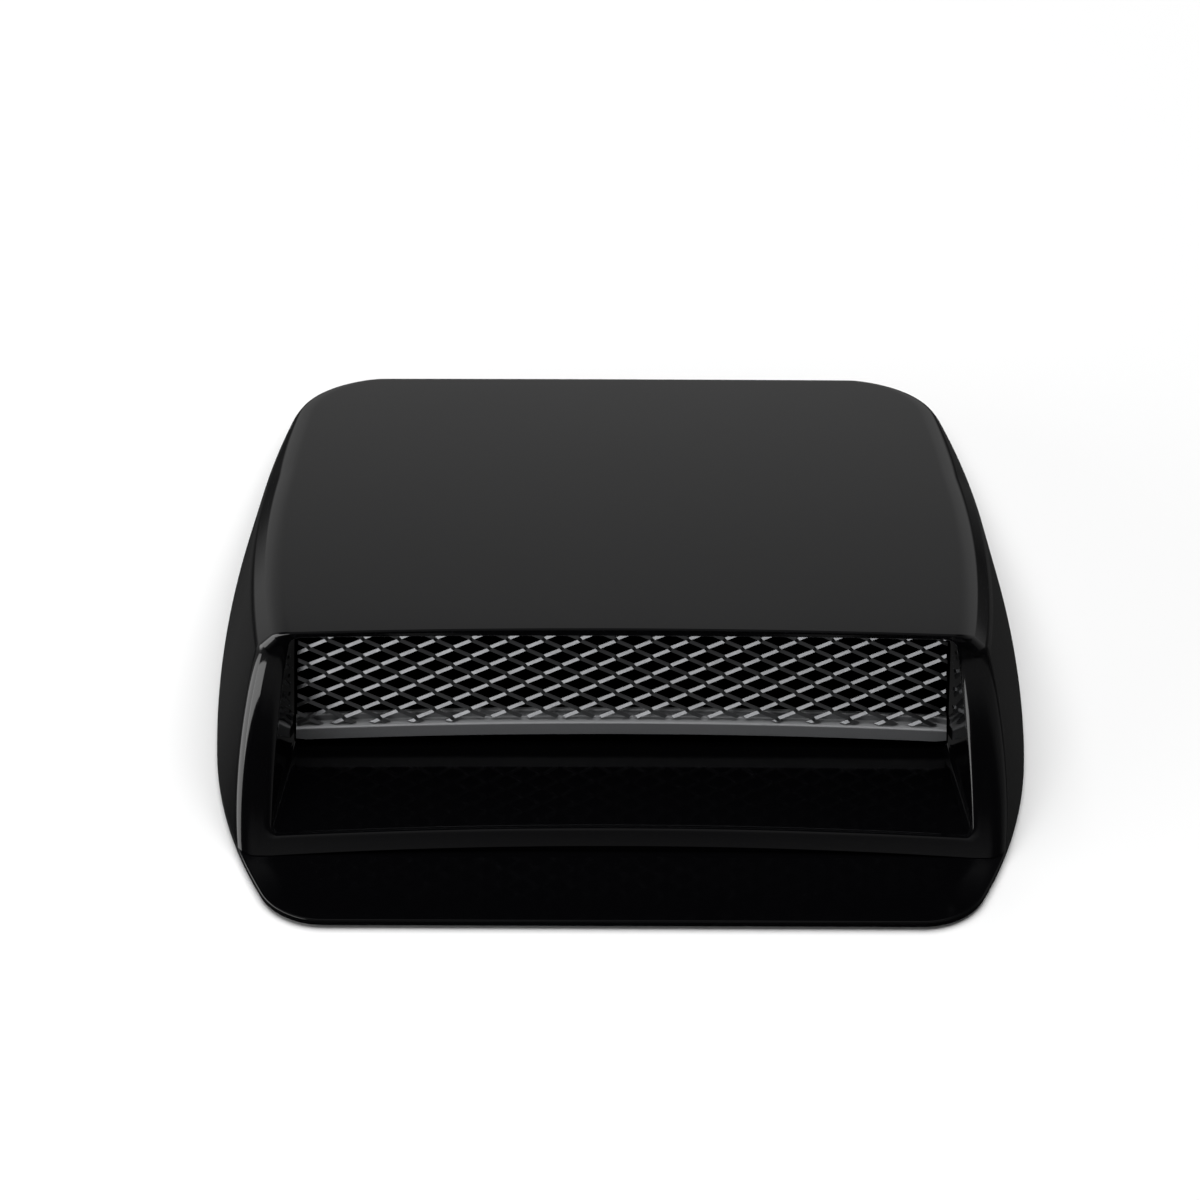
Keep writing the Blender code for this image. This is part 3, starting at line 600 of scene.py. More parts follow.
def carve(target: bpy.types.Object, tools: list[bpy.types.Object], add: bool = False) -> None:
    """Cut bodies out of a body or add them to it, and remove them.

    Args:
        target: The body that stays.
        tools: The other bodies, used up.
        add: Whether they are added.
    """
    for tool in tools:
        step = target.modifiers.new(tool.name, "BOOLEAN")
        step.operation = "UNION" if add else "DIFFERENCE"
        step.solver = "EXACT"
        step.object = tool
    apply_modifiers(target)
    for tool in tools:
        bpy.data.objects.remove(tool)


def smooth(thing: bpy.types.Object, angle: float) -> None:
    """Shade a body smooth between its sharp edges, with flat faces kept flat.

    Args:
        thing: The body.
        angle: Edges with more than this many degrees stay sharp.
    """
    thing.data.shade_smooth()
    thing.data.set_sharp_from_angle(angle=math.radians(angle))
    weight = thing.modifiers.new("flat faces first", "WEIGHTED_NORMAL")
    weight.keep_sharp = True
    weight.weight = FLAT_WEIGHT


def turned(name: str, profile: list[Pair], at: Pair, sides: int) -> bpy.types.Object:
    """Body turned round an upright axis.

    Args:
        name: Name of the object.
        profile: Points (radius, height) from the top end on the axis to the bottom end on it.
        at: World X and Y of the axis.
        sides: Number of sides.

    Returns:
        The object.
    """
    maker = MeshMaker()
    angles = [2 * math.pi * step / sides for step in range(sides)]
    maker.grid([[(at[0] + radius * math.cos(angle), at[1] + radius * math.sin(angle), height)
                 for angle in angles] for radius, height in profile], closed=True)
    return maker.build(name)


def rod(name: str, radius: float, ends: Pair, at: Pair, sides: int) -> bpy.types.Object:
    """Upright rod.

    Args:
        name: Name of the object.
        radius: Its radius.
        ends: Heights of its top and its foot.
        at: World X and Y of the axis.
        sides: Number of sides.

    Returns:
        The object.
    """
    top, foot = ends
    return turned(name, [(0.0, top), (radius, top), (radius, foot), (0.0, foot)], at, sides)


# Finishes

def linear(colour: str) -> tuple[float, float, float, float]:
    """Linear colour of an sRGB hex value.

    Args:
        colour: Six hex digits after a hash sign.

    Returns:
        Red, green, blue and 1.
    """
    parts = [int(colour[i:i + 2], 16) / 255 for i in (1, 3, 5)]
    flat = [p / 12.92 if p <= 0.04045 else ((p + 0.055) / 1.055) ** 2.4 for p in parts]
    return (*flat, 1.0)


def add_node(tree: bpy.types.NodeTree, kind: str, inputs: dict | None = None,
             **settings: object) -> bpy.types.Node:
    """Add a node with its settings, values and links.

    Args:
        tree: The node tree.
        kind: The node's type.
        inputs: Sockets by name or number; a socket as the value is linked, other values are set.
        settings: The node's own properties.

    Returns:
        The node.
    """
    node = tree.nodes.new(kind)
    for name, value in settings.items():
        setattr(node, name, value)
    for key, value in (inputs or {}).items():
        if isinstance(value, bpy.types.NodeSocket):
            tree.links.new(value, node.inputs[key])
        else:
            node.inputs[key].default_value = value
    return node


@dataclass(frozen=True)
class Finish(ABC):
    """What the finishes share; each kind gives the shader of its own surface."""

    name: str

    @abstractmethod
    def surface(self, tree: bpy.types.NodeTree, where: bpy.types.NodeSocket) -> bpy.types.Node:
        """Add the finish's nodes.

        Args:
            tree: The material's node tree.
            where: Place on the piece, in metres from its origin.

        Returns:
            The node that shades the surface.
        """

    def material(self) -> bpy.types.Material:
        """Build the material.

        Returns:
            The material.
        """
        material = bpy.data.materials.new(self.name)
        material.use_nodes = True
        tree = material.node_tree
        tree.nodes.clear()
        where = add_node(tree, "ShaderNodeTexCoord").outputs["Object"]
        shader = self.surface(tree, where)
        add_node(tree, "ShaderNodeOutputMaterial", {"Surface": shader.outputs["BSDF"]})
        return material


@dataclass(frozen=True)
class MouldedGlossAbs(Finish):
    """ABS plastic moulded in a polished tool.

    The eye gets deep black with crisp mirror highlights that waver a little, because moulded
    gloss keeps a faint orange peel, and a haze of handling that softens some highlights.
    """

    name: str = "gloss_abs_injection_moulded"
    colour: str = "#040405"
    dust: str = "#1A1B1D"
    roughness: Pair = (0.07, 0.14)    # clean and hazed
    ior: float = 1.53
    peel_size: float = 3.5 * MM       # orange peel's waves on moulded gloss are 1 to 5 mm long
    peel_depth: float = 0.004 * MM
    haze_size: float = 45.0 * MM      # patches of handling haze, about three fingertips wide
    haze_from: Pair = (0.35, 0.75)    # share of the patches' noise over which the haze comes up
    speck_size: float = 0.9 * MM      # dust is nearer 0.1 mm, drawn this coarse so that it shows
    speck_spread: float = 6.0         # distance from speck to speck, in their own sizes
    speck_edge: Pair = (0.035, 0.05)  # shares of that distance over which a speck fades out
    speck_strength: float = 0.35

    def surface(self, tree: bpy.types.NodeTree, where: bpy.types.NodeSocket) -> bpy.types.Node:
        """Add the finish's nodes.

        Args:
            tree: The material's node tree.
            where: Place on the piece, in metres from its origin.

        Returns:
            The node that shades the surface.
        """
        patches = add_node(tree, "ShaderNodeTexNoise", {
            "Vector": where, "Scale": 1 / self.haze_size, "Detail": 3.0, "Roughness": 0.55})
        rough = add_node(tree, "ShaderNodeMapRange", {
            "Value": patches.outputs["Fac"],
            "From Min": self.haze_from[0], "From Max": self.haze_from[1],
            "To Min": self.roughness[0], "To Max": self.roughness[1]})
        cells = add_node(tree, "ShaderNodeTexVoronoi", {
            "Vector": where, "Scale": 1 / (self.speck_size * self.speck_spread),
            "Randomness": 1.0})
        speck = add_node(tree, "ShaderNodeMapRange", {
            "Value": cells.outputs["Distance"],
            "From Min": self.speck_edge[0], "From Max": self.speck_edge[1],
            "To Min": self.speck_strength, "To Max": 0.0})
        tint = add_node(tree, "ShaderNodeMix", {
            "Factor": speck.outputs["Result"], "A": linear(self.colour), "B": linear(self.dust)},
            data_type="RGBA")
        peel = add_node(tree, "ShaderNodeTexNoise", {
            "Vector": where, "Scale": 1 / self.peel_size, "Detail": 1.5, "Roughness": 0.4})
        bump = add_node(tree, "ShaderNodeBump", {
            "Height": peel.outputs["Fac"], "Strength": 1.0, "Distance": self.peel_depth})
        return add_node(tree, "ShaderNodeBsdfPrincipled", {
            "Base Color": tint.outputs["Result"], "Roughness": rough.outputs["Result"],
            "IOR": self.ior, "Normal": bump.outputs["Normal"]})


@dataclass(frozen=True)
class ExpandedAluminium(Finish):
    """Aluminium sheet, slit and pulled open into raised mesh, left bright.

    The eye gets soft grey metal, each strand brighter on the side that its twist turns to the
    light, with fine drawing lines and slightly dull sheared edges.
    """

    name: str = "aluminium_expanded_raised"
    colour: str = "#8C8D8F"
    shade: str = "#6E6F71"
    roughness: Pair = (0.28, 0.44)    # between the drawing lines and on them
    grain_size: float = 0.25 * MM     # drawing lines of sheet metal, drawn coarser than real
    grain_run: Point = (0.25, 1.0, 1.0)    # the lines run four times their width along X
    grain_depth: float = 0.01 * MM
    cloud_size: float = 7.0 * MM      # slow changes of tone, about half a diamond long

    def surface(self, tree: bpy.types.NodeTree, where: bpy.types.NodeSocket) -> bpy.types.Node:
        """Add the finish's nodes.

        Args:
            tree: The material's node tree.
            where: Place on the piece, in metres from its origin.

        Returns:
            The node that shades the surface.
        """
        long = add_node(tree, "ShaderNodeMapping", {"Vector": where, "Scale": self.grain_run})
        grain = add_node(tree, "ShaderNodeTexNoise", {
            "Vector": long.outputs["Vector"], "Scale": 1 / self.grain_size, "Detail": 2.0})
        cloud = add_node(tree, "ShaderNodeTexNoise", {
            "Vector": where, "Scale": 1 / self.cloud_size})
        tint = add_node(tree, "ShaderNodeMix", {
            "Factor": cloud.outputs["Fac"], "A": linear(self.colour), "B": linear(self.shade)},
            data_type="RGBA")
        rough = add_node(tree, "ShaderNodeMapRange", {
            "Value": grain.outputs["Fac"],
            "To Min": self.roughness[0], "To Max": self.roughness[1]})
        bump = add_node(tree, "ShaderNodeBump", {
            "Height": grain.outputs["Fac"], "Strength": 0.4, "Distance": self.grain_depth})
        return add_node(tree, "ShaderNodeBsdfPrincipled", {
            "Base Color": tint.outputs["Result"], "Metallic": 1.0,
            "Roughness": rough.outputs["Result"], "Normal": bump.outputs["Normal"]})


@dataclass(frozen=True)
class SatinAbs(Finish):
    """ABS plastic moulded in a spark-eroded tool, used for the mesh's rail.

    The eye gets a satin grey whose fine grain breaks highlights into a soft sheen.
    Faces that point up are painted paler, a painted highlight.
    """

    name: str = "satin_abs_spark_grained"
    colour: str = "#6F7072"
    low: str = "#5F6062"
    painted_highlight: str = "#B4B5B7"             # painted highlight: the rail is painted paler where it faces up
    highlight_from: Pair = (0.15, 0.75)    # upward share of the surface's direction over which the painted highlight comes up
    roughness: Pair = (0.37, 0.50)    # in the grain's valleys and on its peaks
    ior: float = 1.53
    grain_size: float = 0.5 * MM      # spark grain is nearer 0.1 mm, drawn coarser so that it shows
    grain_depth: float = 0.03 * MM

    def surface(self, tree: bpy.types.NodeTree, where: bpy.types.NodeSocket) -> bpy.types.Node:
        """Add the finish's nodes.

        Args:
            tree: The material's node tree.
            where: Place on the piece, in metres from its origin.

        Returns:
            The node that shades the surface.
        """
        grain = add_node(tree, "ShaderNodeTexNoise", {
            "Vector": where, "Scale": 1 / self.grain_size, "Detail": 2.0, "Roughness": 0.6})
        tint = add_node(tree, "ShaderNodeMix", {
            "Factor": grain.outputs["Fac"], "A": linear(self.colour), "B": linear(self.low)},
            data_type="RGBA")
        facing = add_node(tree, "ShaderNodeSeparateXYZ", {
            "Vector": add_node(tree, "ShaderNodeNewGeometry").outputs["Normal"]})
        upward = add_node(tree, "ShaderNodeMapRange", {
            "Value": facing.outputs["Z"],
            "From Min": self.highlight_from[0], "From Max": self.highlight_from[1]})
        # painted highlight: the paler colour is mixed in where the surface faces up
        highlighted = add_node(tree, "ShaderNodeMix", {
            "Factor": upward.outputs["Result"],
            "A": tint.outputs["Result"], "B": linear(self.painted_highlight)}, data_type="RGBA")
        bump = add_node(tree, "ShaderNodeBump", {
            "Height": grain.outputs["Fac"], "Strength": 0.5, "Distance": self.grain_depth})
        rough = add_node(tree, "ShaderNodeMapRange", {
            "Value": grain.outputs["Fac"],
            "To Min": self.roughness[0], "To Max": self.roughness[1]})
        return add_node(tree, "ShaderNodeBsdfPrincipled", {
            "Base Color": highlighted.outputs["Result"], "Roughness": rough.outputs["Result"],
            "IOR": self.ior, "Normal": bump.outputs["Normal"]})


@dataclass(frozen=True)
class BlackZincSteel(Finish):
    """Steel screw, zinc plated and passivated black.

    The eye gets dark metal with a faint blue-brown cast, duller where the plating is rough.
    """

    name: str = "steel_black_zinc_plated"
    colour: str = "#3B3B3E"
    cast: str = "#4A4540"
    roughness: Pair = (0.28, 0.48)    # in smooth and in rough patches of the plating
    patch_size: float = 1.6 * MM      # patches in the plating, about a third of the head

    def surface(self, tree: bpy.types.NodeTree, where: bpy.types.NodeSocket) -> bpy.types.Node:
        """Add the finish's nodes.

        Args:
            tree: The material's node tree.
            where: Place on the piece, in metres from its origin.

        Returns:
            The node that shades the surface.
        """
        patches = add_node(tree, "ShaderNodeTexNoise", {
            "Vector": where, "Scale": 1 / self.patch_size, "Detail": 3.0})
        tint = add_node(tree, "ShaderNodeMix", {
            "Factor": patches.outputs["Fac"], "A": linear(self.colour), "B": linear(self.cast)},
            data_type="RGBA")
        rough = add_node(tree, "ShaderNodeMapRange", {
            "Value": patches.outputs["Fac"],
            "To Min": self.roughness[0], "To Max": self.roughness[1]})
        return add_node(tree, "ShaderNodeBsdfPrincipled", {
            "Base Color": tint.outputs["Result"], "Metallic": 1.0,
            "Roughness": rough.outputs["Result"]})


@dataclass(frozen=True)
class FoamTape(Finish):
    """Closed-cell foam tape, slit from a roll.

    The eye gets a dull dark grey band with fine pores along its cut sides.
    """

    name: str = "pe_foam_tape_closed_cell"
    colour: str = "#3A3B3D"
    pore: str = "#1E1F20"
    roughness: float = 0.9
    ior: float = 1.5
    cell_size: float = 0.35 * MM      # foam cells of thin tape are 0.1 to 0.4 mm wide
    cell_depth: float = 0.1 * MM

    def surface(self, tree: bpy.types.NodeTree, where: bpy.types.NodeSocket) -> bpy.types.Node:
        """Add the finish's nodes.

        Args:
            tree: The material's node tree.
            where: Place on the piece, in metres from its origin.

        Returns:
            The node that shades the surface.
        """
        cells = add_node(tree, "ShaderNodeTexVoronoi", {
            "Vector": where, "Scale": 1 / self.cell_size})
        tint = add_node(tree, "ShaderNodeMix", {
            "Factor": cells.outputs["Distance"], "A": linear(self.pore), "B": linear(self.colour)},
            data_type="RGBA")
        bump = add_node(tree, "ShaderNodeBump", {
            "Height": cells.outputs["Distance"], "Strength": 0.7, "Distance": self.cell_depth})
        return add_node(tree, "ShaderNodeBsdfPrincipled", {
            "Base Color": tint.outputs["Result"], "Roughness": self.roughness,
            "IOR": self.ior, "Normal": bump.outputs["Normal"]})


# The vent's pieces

@dataclass
class ScoopCover:
    """The moulded cover: skin, rolled mouth frame, duct, and its hollow underside."""

    form: ScoopForm
    fine: Fineness
    sill_height: float = 4.2 * MM
    sill_arch: float = 2.0 * MM
    sill_arch_under: float = 2.2 * MM
    sill_edge_radius: float = 1.1 * MM
    sill_depth: float = 3.15 * MM     # run of the gap under the sill
    floor_front: float = 3.0 * MM
    floor_rear: float = 6.4 * MM
    floor_arch: float = 2.0 * MM
    floor_start: float = 2.8 * MM
    valley_radius: float = 1.2 * MM
    outer_radius: float = 5.0 * MM
    inner_radius: float = 3.0 * MM
    lip_radius: float = 1.6 * MM
    post_radius: float = 3.5 * MM
    pilot_radius: float = 1.75 * MM
    pilot_top: float = 10.1 * MM      # world height of the pilot holes' ends
    cutter_low: float = -2.0 * MM     # the cutters start this far under the rim
    slope_step: float = 0.3 * MM      # reach to each side over which the face's slope is taken
    least_upright: float = 0.2        # least share of the face's slope that counts as upright
    border_blend: float = 0.4         # share of the mouth's side over which its border widens
    cheek_levels: tuple[float, ...] = (0.08, 0.25, 0.42, 0.58)    # shares of the lip's height
    cheek_face: float = 1.5           # wall thicknesses of plastic in front of the cheek hollows
    floor_hollow_run: float = 16.0 * MM    # from the face's foot to the hollow under the floor
    frame_step: float = 0.5 * MM      # steps in which a post's way up to the face is tried
    post_cover: float = 0.75          # wall thicknesses that a post's top lies under the skin
    pilot_start: float = 1.0 * MM     # the pilot holes' cutters start this far under the rim
    post_sides: int = 32
    pilot_sides: int = 24

    def mouth_loop(self, top: float, bottom: float, rise: float,
                   half_at: Callable[[float], float]) -> list[Pair]:
        """Half loop (half width, height) round the duct, from the lip's middle to the sill's.

        Args:
            top: Height of the duct's top at its sides.
            bottom: Height of its floor at the sides.
            rise: Rise of the floor's arch in the middle.
            half_at: Gives the half width at a height.

        Returns:
            The points, one for each spoke.
        """
        form, fine = self.form, self.fine
        upper, lower = form.mouth_top_radius, form.mouth_bottom_radius
        side_top = (half_at(top - upper), top - upper)
        side_bottom = (half_at(bottom + lower), bottom + lower)
        lip_end = (half_at(top) - upper, top)
        sill_end = (half_at(bottom) - lower, bottom)
        points = [(lip_end[0] * step / fine.top, top) for step in range(fine.top)]
        points += rounded(lip_end, (half_at(top), top), side_top, fine.shoulder + fine.crease + 1)
        for step in range(1, fine.wall + 1):
            height = mix(side_top[1], side_bottom[1], step / fine.wall)
            points.append((half_at(height), height))
        points += rounded(side_bottom, (half_at(bottom), bottom), sill_end, fine.foot)[1:]
        points += [(sill_end[0] * (1 - step / fine.sill), bottom)
                   for step in range(1, fine.sill + 1)]
        reach = 2 * lower
        loop = []
        for x, z in points:
            lift = form.arch(x, rise) * ease((bottom + reach - z) / reach)
            lift += form.crown(x, half_at(top)) * ease((z - side_top[1]) / upper)
            loop.append((x, z + lift))
        return loop

    def on_face(self, loop: list[Pair], number: int, reach: float) -> Point:
        """Point of the bowed face outside the mouth.

        Args:
            loop: The mouth's half loop.
            number: Which spoke.
            reach: Distance from the loop along the face.

        Returns:
            Half width, depth and height.
        """
        x, z = loop[number]
        before = loop[max(number - 1, 0)]
        after = loop[min(number + 1, len(loop) - 1)]
        step = self.slope_step
        run = self.form.face_depth(z + step) - self.form.face_depth(z - step)
        upward = max(2 * step / math.hypot(run, 2 * step), self.least_upright)
        along = (after[0] - before[0], (after[1] - before[1]) / upward)
        length = math.hypot(*along)
        out = (-along[1] / length, along[0] / length)
        height = z + upward * out[1] * reach
        return (x + out[0] * reach, self.form.face_depth(height), height)

    def skin_lines(self) -> list[Line]:
        """Lines of the skin, each from the face over the rolled border to the rear edge.

        Returns:
            One line of (half width, depth, height) for each point of the section, middle first.
        """
        form, fine = self.form, self.fine
        front = Section(form, fine, form.lip_depth).points()
        top_start = fine.wall + fine.crease + fine.shoulder + 2
        lines = []
        for number, (_, height) in enumerate(front):
            turn = ease((number - fine.wall) / (top_start - fine.wall))
            reach = mix(self.outer_radius, self.lip_radius, turn)
            depth = form.face_depth(height) if number < top_start else form.lip_depth
            edge_x, edge_z = Section(form, fine, depth).point(number)
            skin_x, skin_z = Section(form, fine, depth + reach).point(number)
            low = edge_z - reach * turn
            face = form.face_depth(min(low, form.lip_height - self.lip_radius))
            border = (edge_x - reach * (1 - turn), face, low)
            skin = (skin_x, depth + reach, skin_z)
            line = rounded(border, (edge_x, depth, edge_z), skin, fine.roll)
            for station in form.stations(depth + reach, fine.stations, fine.rear)[1:]:
                x, z = Section(form, fine, station).point(number)
                line.append((x, station, z))
            lines.append(line)
        return lines[::-1]

    def duct_lines(self) -> list[Line]:
        """Lines from the face over the mouth's rolled border to the duct's end.

        Returns:
            One line of (half width, depth, height) for each spoke, the lip's middle first.
        """
        form, fine = self.form, self.fine
        top = form.lip_height - form.lip_thickness
        mouth = self.mouth_loop(top, self.sill_height, self.sill_arch, form.mouth_half_width)
        throat = self.mouth_loop(top, self.floor_front, self.sill_arch, form.mouth_half_width)
        rear_top = form.top_height(form.duct_end) - form.wall
        rear = self.mouth_loop(rear_top, self.floor_rear, self.floor_arch,
                               lambda height: form.duct_width / 2)
        side_steps = fine.shoulder + fine.crease + fine.wall * self.border_blend
        sill_start = len(mouth) - fine.sill
        lines = []
        for number, (x, z) in enumerate(mouth):
            to_side = ease((number - fine.top) / side_steps)
            to_sill = ease((number - sill_start + fine.foot) / fine.foot)
            side_radius = mix(self.lip_radius, self.inner_radius, to_side)
            radius = mix(side_radius, self.sill_edge_radius, to_sill)
            edge = (x, form.face_depth(z), z)
            valley = (throat[number][0], edge[1] + self.floor_start, throat[number][1])
            end = (rear[number][0], form.duct_end, rear[number][1])
            line = rounded(self.on_face(mouth, number, radius), edge,
                           toward(edge, valley, radius), fine.roll)
            line += rounded(toward(valley, edge, self.valley_radius), valley,
                            toward(valley, end, self.valley_radius), fine.valley)
            start = line[-1]
            line += [mix(start, end, step / fine.duct) for step in range(1, fine.duct + 1)]
            lines.append(line)
        return lines

    def block(self) -> bpy.types.Object:
        """Outer form with its mouth and duct, solid behind and underneath.

        Returns:
            The closed body.
        """
        form, fine = self.form, self.fine
        skin = self.skin_lines()
        duct = self.duct_lines()
        foot = skin[-1]
        side_end = form.mouth_bottom_width / 2
        borders = [line[0] for line in skin]
        borders += [(mix(foot[0][0], side_end, step / fine.foot), form.face_start, 0.0)
                    for step in range(1, fine.foot + 1)]
        under = []
        for step in range(fine.sill + 1):
            x = side_end * (1 - step / fine.sill)
            z = form.arch(x, self.sill_arch_under)
            back = form.face_start + self.sill_depth
            under.append([(x, form.face_depth(z), z), (x, back, z), (x, back, 0.0)])
        borders += [line[0] for line in under[1:]]
        face = []
        for border, line in zip(borders, duct):
            lip = border[2] > form.lip_height - self.lip_radius - WELD
            strip = []
            for step in range(fine.face + 1):
                x, depth, z = mix(border, line[0], step / fine.face)
                strip.append((x, depth if lip or step in (0, fine.face) else form.face_depth(z), z))
            face.append(strip)
        maker = MeshMaker()
        for lines in (skin, face, duct, under):
            maker.grid([[form.world(*point) for point in line] for line in lines], mirrored=True)
        maker.polygon(whole_ring([form.world(*line[-1]) for line in duct]))
        rim = [line[-1] for line in reversed(under)]
        rim += borders[len(skin):len(skin) + fine.foot][::-1] + foot
        for half in ([line[-1] for line in skin], rim):
            half = [form.world(*point) for point in half]
            maker.polygon(half + [(-x, y, z) for x, y, z in reversed(half[1:])])
        return maker.build("scoop_cover_shell")

    def hollow(self) -> bpy.types.Object:
        """Air under the top and between the side walls, behind the duct.

        Returns:
            The body to cut out.
        """
        form, fine = self.form, self.fine
        first = form.mesh_depth + form.duct_tail / 2
        rings = []
        for depth in form.stations(first, fine.hollow, fine.hollow_rear, form.wall):
            half = Section(form, fine, depth, form.wall).points()[:0:-1]
            half += [(form.half_width(depth, form.wall), self.cutter_low), (0.0, self.cutter_low)]
            rings.append(whole_ring([form.world(x, depth, z) for x, z in half]))
        return lofted("cover hollow", rings)

    def cheek_hollow(self, side: Side) -> bpy.types.Object:
        """Air in one cheek, between the duct's wall and the side wall.

        Args:
            side: Which cheek.

        Returns:
            The body to cut out.
        """
        form = self.form
        end = form.duct_end
        rings = []
        for level in [self.cutter_low] + [form.lip_height * share for share in self.cheek_levels]:
            height = max(level, 0.0)
            face = form.face_depth(height)
            front = face + form.wall * self.cheek_face
            inner_back = form.duct_width / 2 + form.wall
            inner_front = mix(form.mouth_half_width(height), form.duct_width / 2,
                              (front - face) / (end - face)) + form.wall
            outer_front, outer_back = (form.half_width(depth) - form.wall_lean * height - form.wall
                                       for depth in (front, end))
            corners = ((inner_front, front), (outer_front, front),
                       (outer_back, end), (inner_back, end))
            rings.append([form.world(side.value * x, depth, level) for x, depth in corners])
        return lofted(f"cheek hollow {side.name.lower()}", rings)

    def floor_hollow(self) -> bpy.types.Object:
        """Air under the rising floor of the duct.

        Returns:
            The body to cut out.
        """
        form = self.form
        half = form.duct_width / 2 - form.wall
        front = form.face_start + self.floor_hollow_run
        rise_front = self.floor_front - form.wall + form.clearance
        rise_back = self.floor_rear - form.wall
        profile = ((front, self.cutter_low), (front, rise_front), (form.duct_end, rise_back),
                   (form.duct_end, self.cutter_low))
        return lofted("floor hollow", [[form.world(x, depth, z) for depth, z in profile]
                                       for x in (-half, half)])

    def post_top(self, across: float, depth: float) -> float:
        """Height above the rim at which a screw post ends inside the skin or frame over it.

        Args:
            across: X of its axis.
            depth: Depth of its axis.

        Returns:
            The height.
        """
        form = self.form
        reach = abs(across) + self.post_radius + form.clearance
        heights = []
        for place in (depth - self.post_radius, depth, depth + self.post_radius):
            outer = Section(form, self.fine, place).points()
            heights += [z for x, z in outer if x <= reach] + [outer[-1][1]]
            heights.append(max((form.half_width(place) - reach) / form.wall_lean, 0.0))
        front = depth - self.post_radius
        frame_height = 0.0
        while frame_height < form.lip_height and form.face_depth(frame_height) < front:
            frame_height += self.frame_step
        return min(min(heights), frame_height) - form.wall * self.post_cover

    def build(self, places: list[Pair]) -> bpy.types.Object:
        """Make the cover with its hollow and its screw posts.

        Args:
            places: X and depth of the screws.

        Returns:
            The cover.
        """
        form = self.form
        cover = self.block()
        cheeks = [self.cheek_hollow(side) for side in Side]
        carve(cover, [self.hollow(), *cheeks, self.floor_hollow()])
        posts, pilots = [], []
        for number, (x, depth) in enumerate(places, 1):
            top = form.rim + self.post_top(x, depth)
            at = (x, form.place(depth))
            posts.append(rod(f"post {number}", self.post_radius, (top, form.rim), at,
                             self.post_sides))
            end = min(self.pilot_top, top - form.wall / 2)
            pilots.append(rod(f"pilot {number}", self.pilot_radius,
                              (end, form.rim - self.pilot_start), at, self.pilot_sides))
        carve(cover, posts, add=True)
        carve(cover, pilots)
        smooth(cover, MOULDED_ANGLE)
        return cover


@dataclass
class BasePlate:
    """The flat plate: the apron in front of the mouth and the band under the cover's rim."""

    form: ScoopForm
    band_width: float = 21.0 * MM
    opening_depth: float = 59.6 * MM
    opening_radius: float = 18.0 * MM
    edge_radius: float = 0.6 * MM
    edge_steps: int = 4
    corner_steps: int = 20
    side_steps: int = 48
    opening_steps: int = 12
    flat_angle: float = 0.0005        # radians; faces that differ less are joined

    def corner_points(self, corner: Corner, inset: float) -> list[Pair]:
        """Points (half width, depth) round one corner, from the side to the end edge.

        Args:
            corner: Which corner.
            inset: Distance that the outline is drawn in.

        Returns:
            The points.
        """
        centre, centre_depth, start, radius = self.form.corner_arc(corner, inset)
        low = math.asin(corner.value * (start - centre_depth) / radius)
        points = []
        for step in range(self.corner_steps + 1):
            angle = mix(low, math.pi / 2, step / self.corner_steps)
            points.append((centre + radius * math.cos(angle),
                           centre_depth + corner.value * radius * math.sin(angle)))
        return points

    def side_points(self, first: float, last: float, inset: float) -> list[Pair]:
        """Points (half width, depth) along the side between two depths."""
        depths = [mix(first, last, step / self.side_steps) for step in range(self.side_steps + 1)]
        return [(self.form.half_width(depth, inset), depth) for depth in depths]

    def mirrored(self, right: list[Pair]) -> list[Pair]:
        """Whole outline in world X and Y from its right half."""
        left = [(-x, depth) for x, depth in reversed(right)]
        return [(x, self.form.place(depth)) for x, depth in right + left]

    def outline(self) -> list[Pair]:
        """Outer outline in world X and Y.

        Returns:
            Its points in order.
        """
        front = self.corner_points(Corner.FRONT, 0.0)[::-1]
        rear = self.corner_points(Corner.REAR, 0.0)
        return self.mirrored(front + self.side_points(front[-1][1], rear[0][1], 0.0)[1:-1] + rear)

    def opening(self) -> list[Pair]:
        """Outline of the opening in world X and Y.

        Returns:
            Its points in order.
        """
        inset, first = self.band_width, self.opening_depth
        rear = self.corner_points(Corner.REAR, inset)
        side = self.side_points(first + self.opening_radius, rear[0][1], inset)[:-1]
        edge = self.form.half_width(first + self.opening_radius, inset)
        corner = rounded((edge - self.opening_radius, first), (edge, first), side[0],
                         self.opening_steps)
        return self.mirrored(corner[:-1] + side + rear)

    def build(self, recesses: list[bpy.types.Object]) -> bpy.types.Object:
        """Make the plate with rounded edges and countersunk holes.

        Args:
            recesses: Bodies of the countersinks, used up.

        Returns:
            The plate.
        """
        form = self.form
        curve = bpy.data.curves.new("base_plate_gloss", "CURVE")
        curve.dimensions = "2D"
        curve.fill_mode = "BOTH"
        curve.extrude = form.plate_thickness / 2 - self.edge_radius
        curve.bevel_depth = self.edge_radius
        curve.bevel_resolution = self.edge_steps
        curve.offset = -self.edge_radius
        for outline in (self.outline(), self.opening()):
            spline = curve.splines.new("POLY")
            spline.points.add(len(outline) - 1)
            spline.use_cyclic_u = True
            for point, (x, y) in zip(spline.points, outline):
                point.co = (x, y, 0.0, 1.0)
        guide = placed("plate guide", curve)
        mesh = evaluated_mesh(guide)
        bpy.data.objects.remove(guide)
        middle = form.plate_bottom + form.plate_thickness / 2
        mesh.transform(Matrix.Translation((0.0, 0.0, middle)))
        close_up(mesh, self.flat_angle)
        plate = placed("base_plate_gloss", mesh)
        carve(plate, recesses)
        smooth(plate, MOULDED_ANGLE)
        return plate


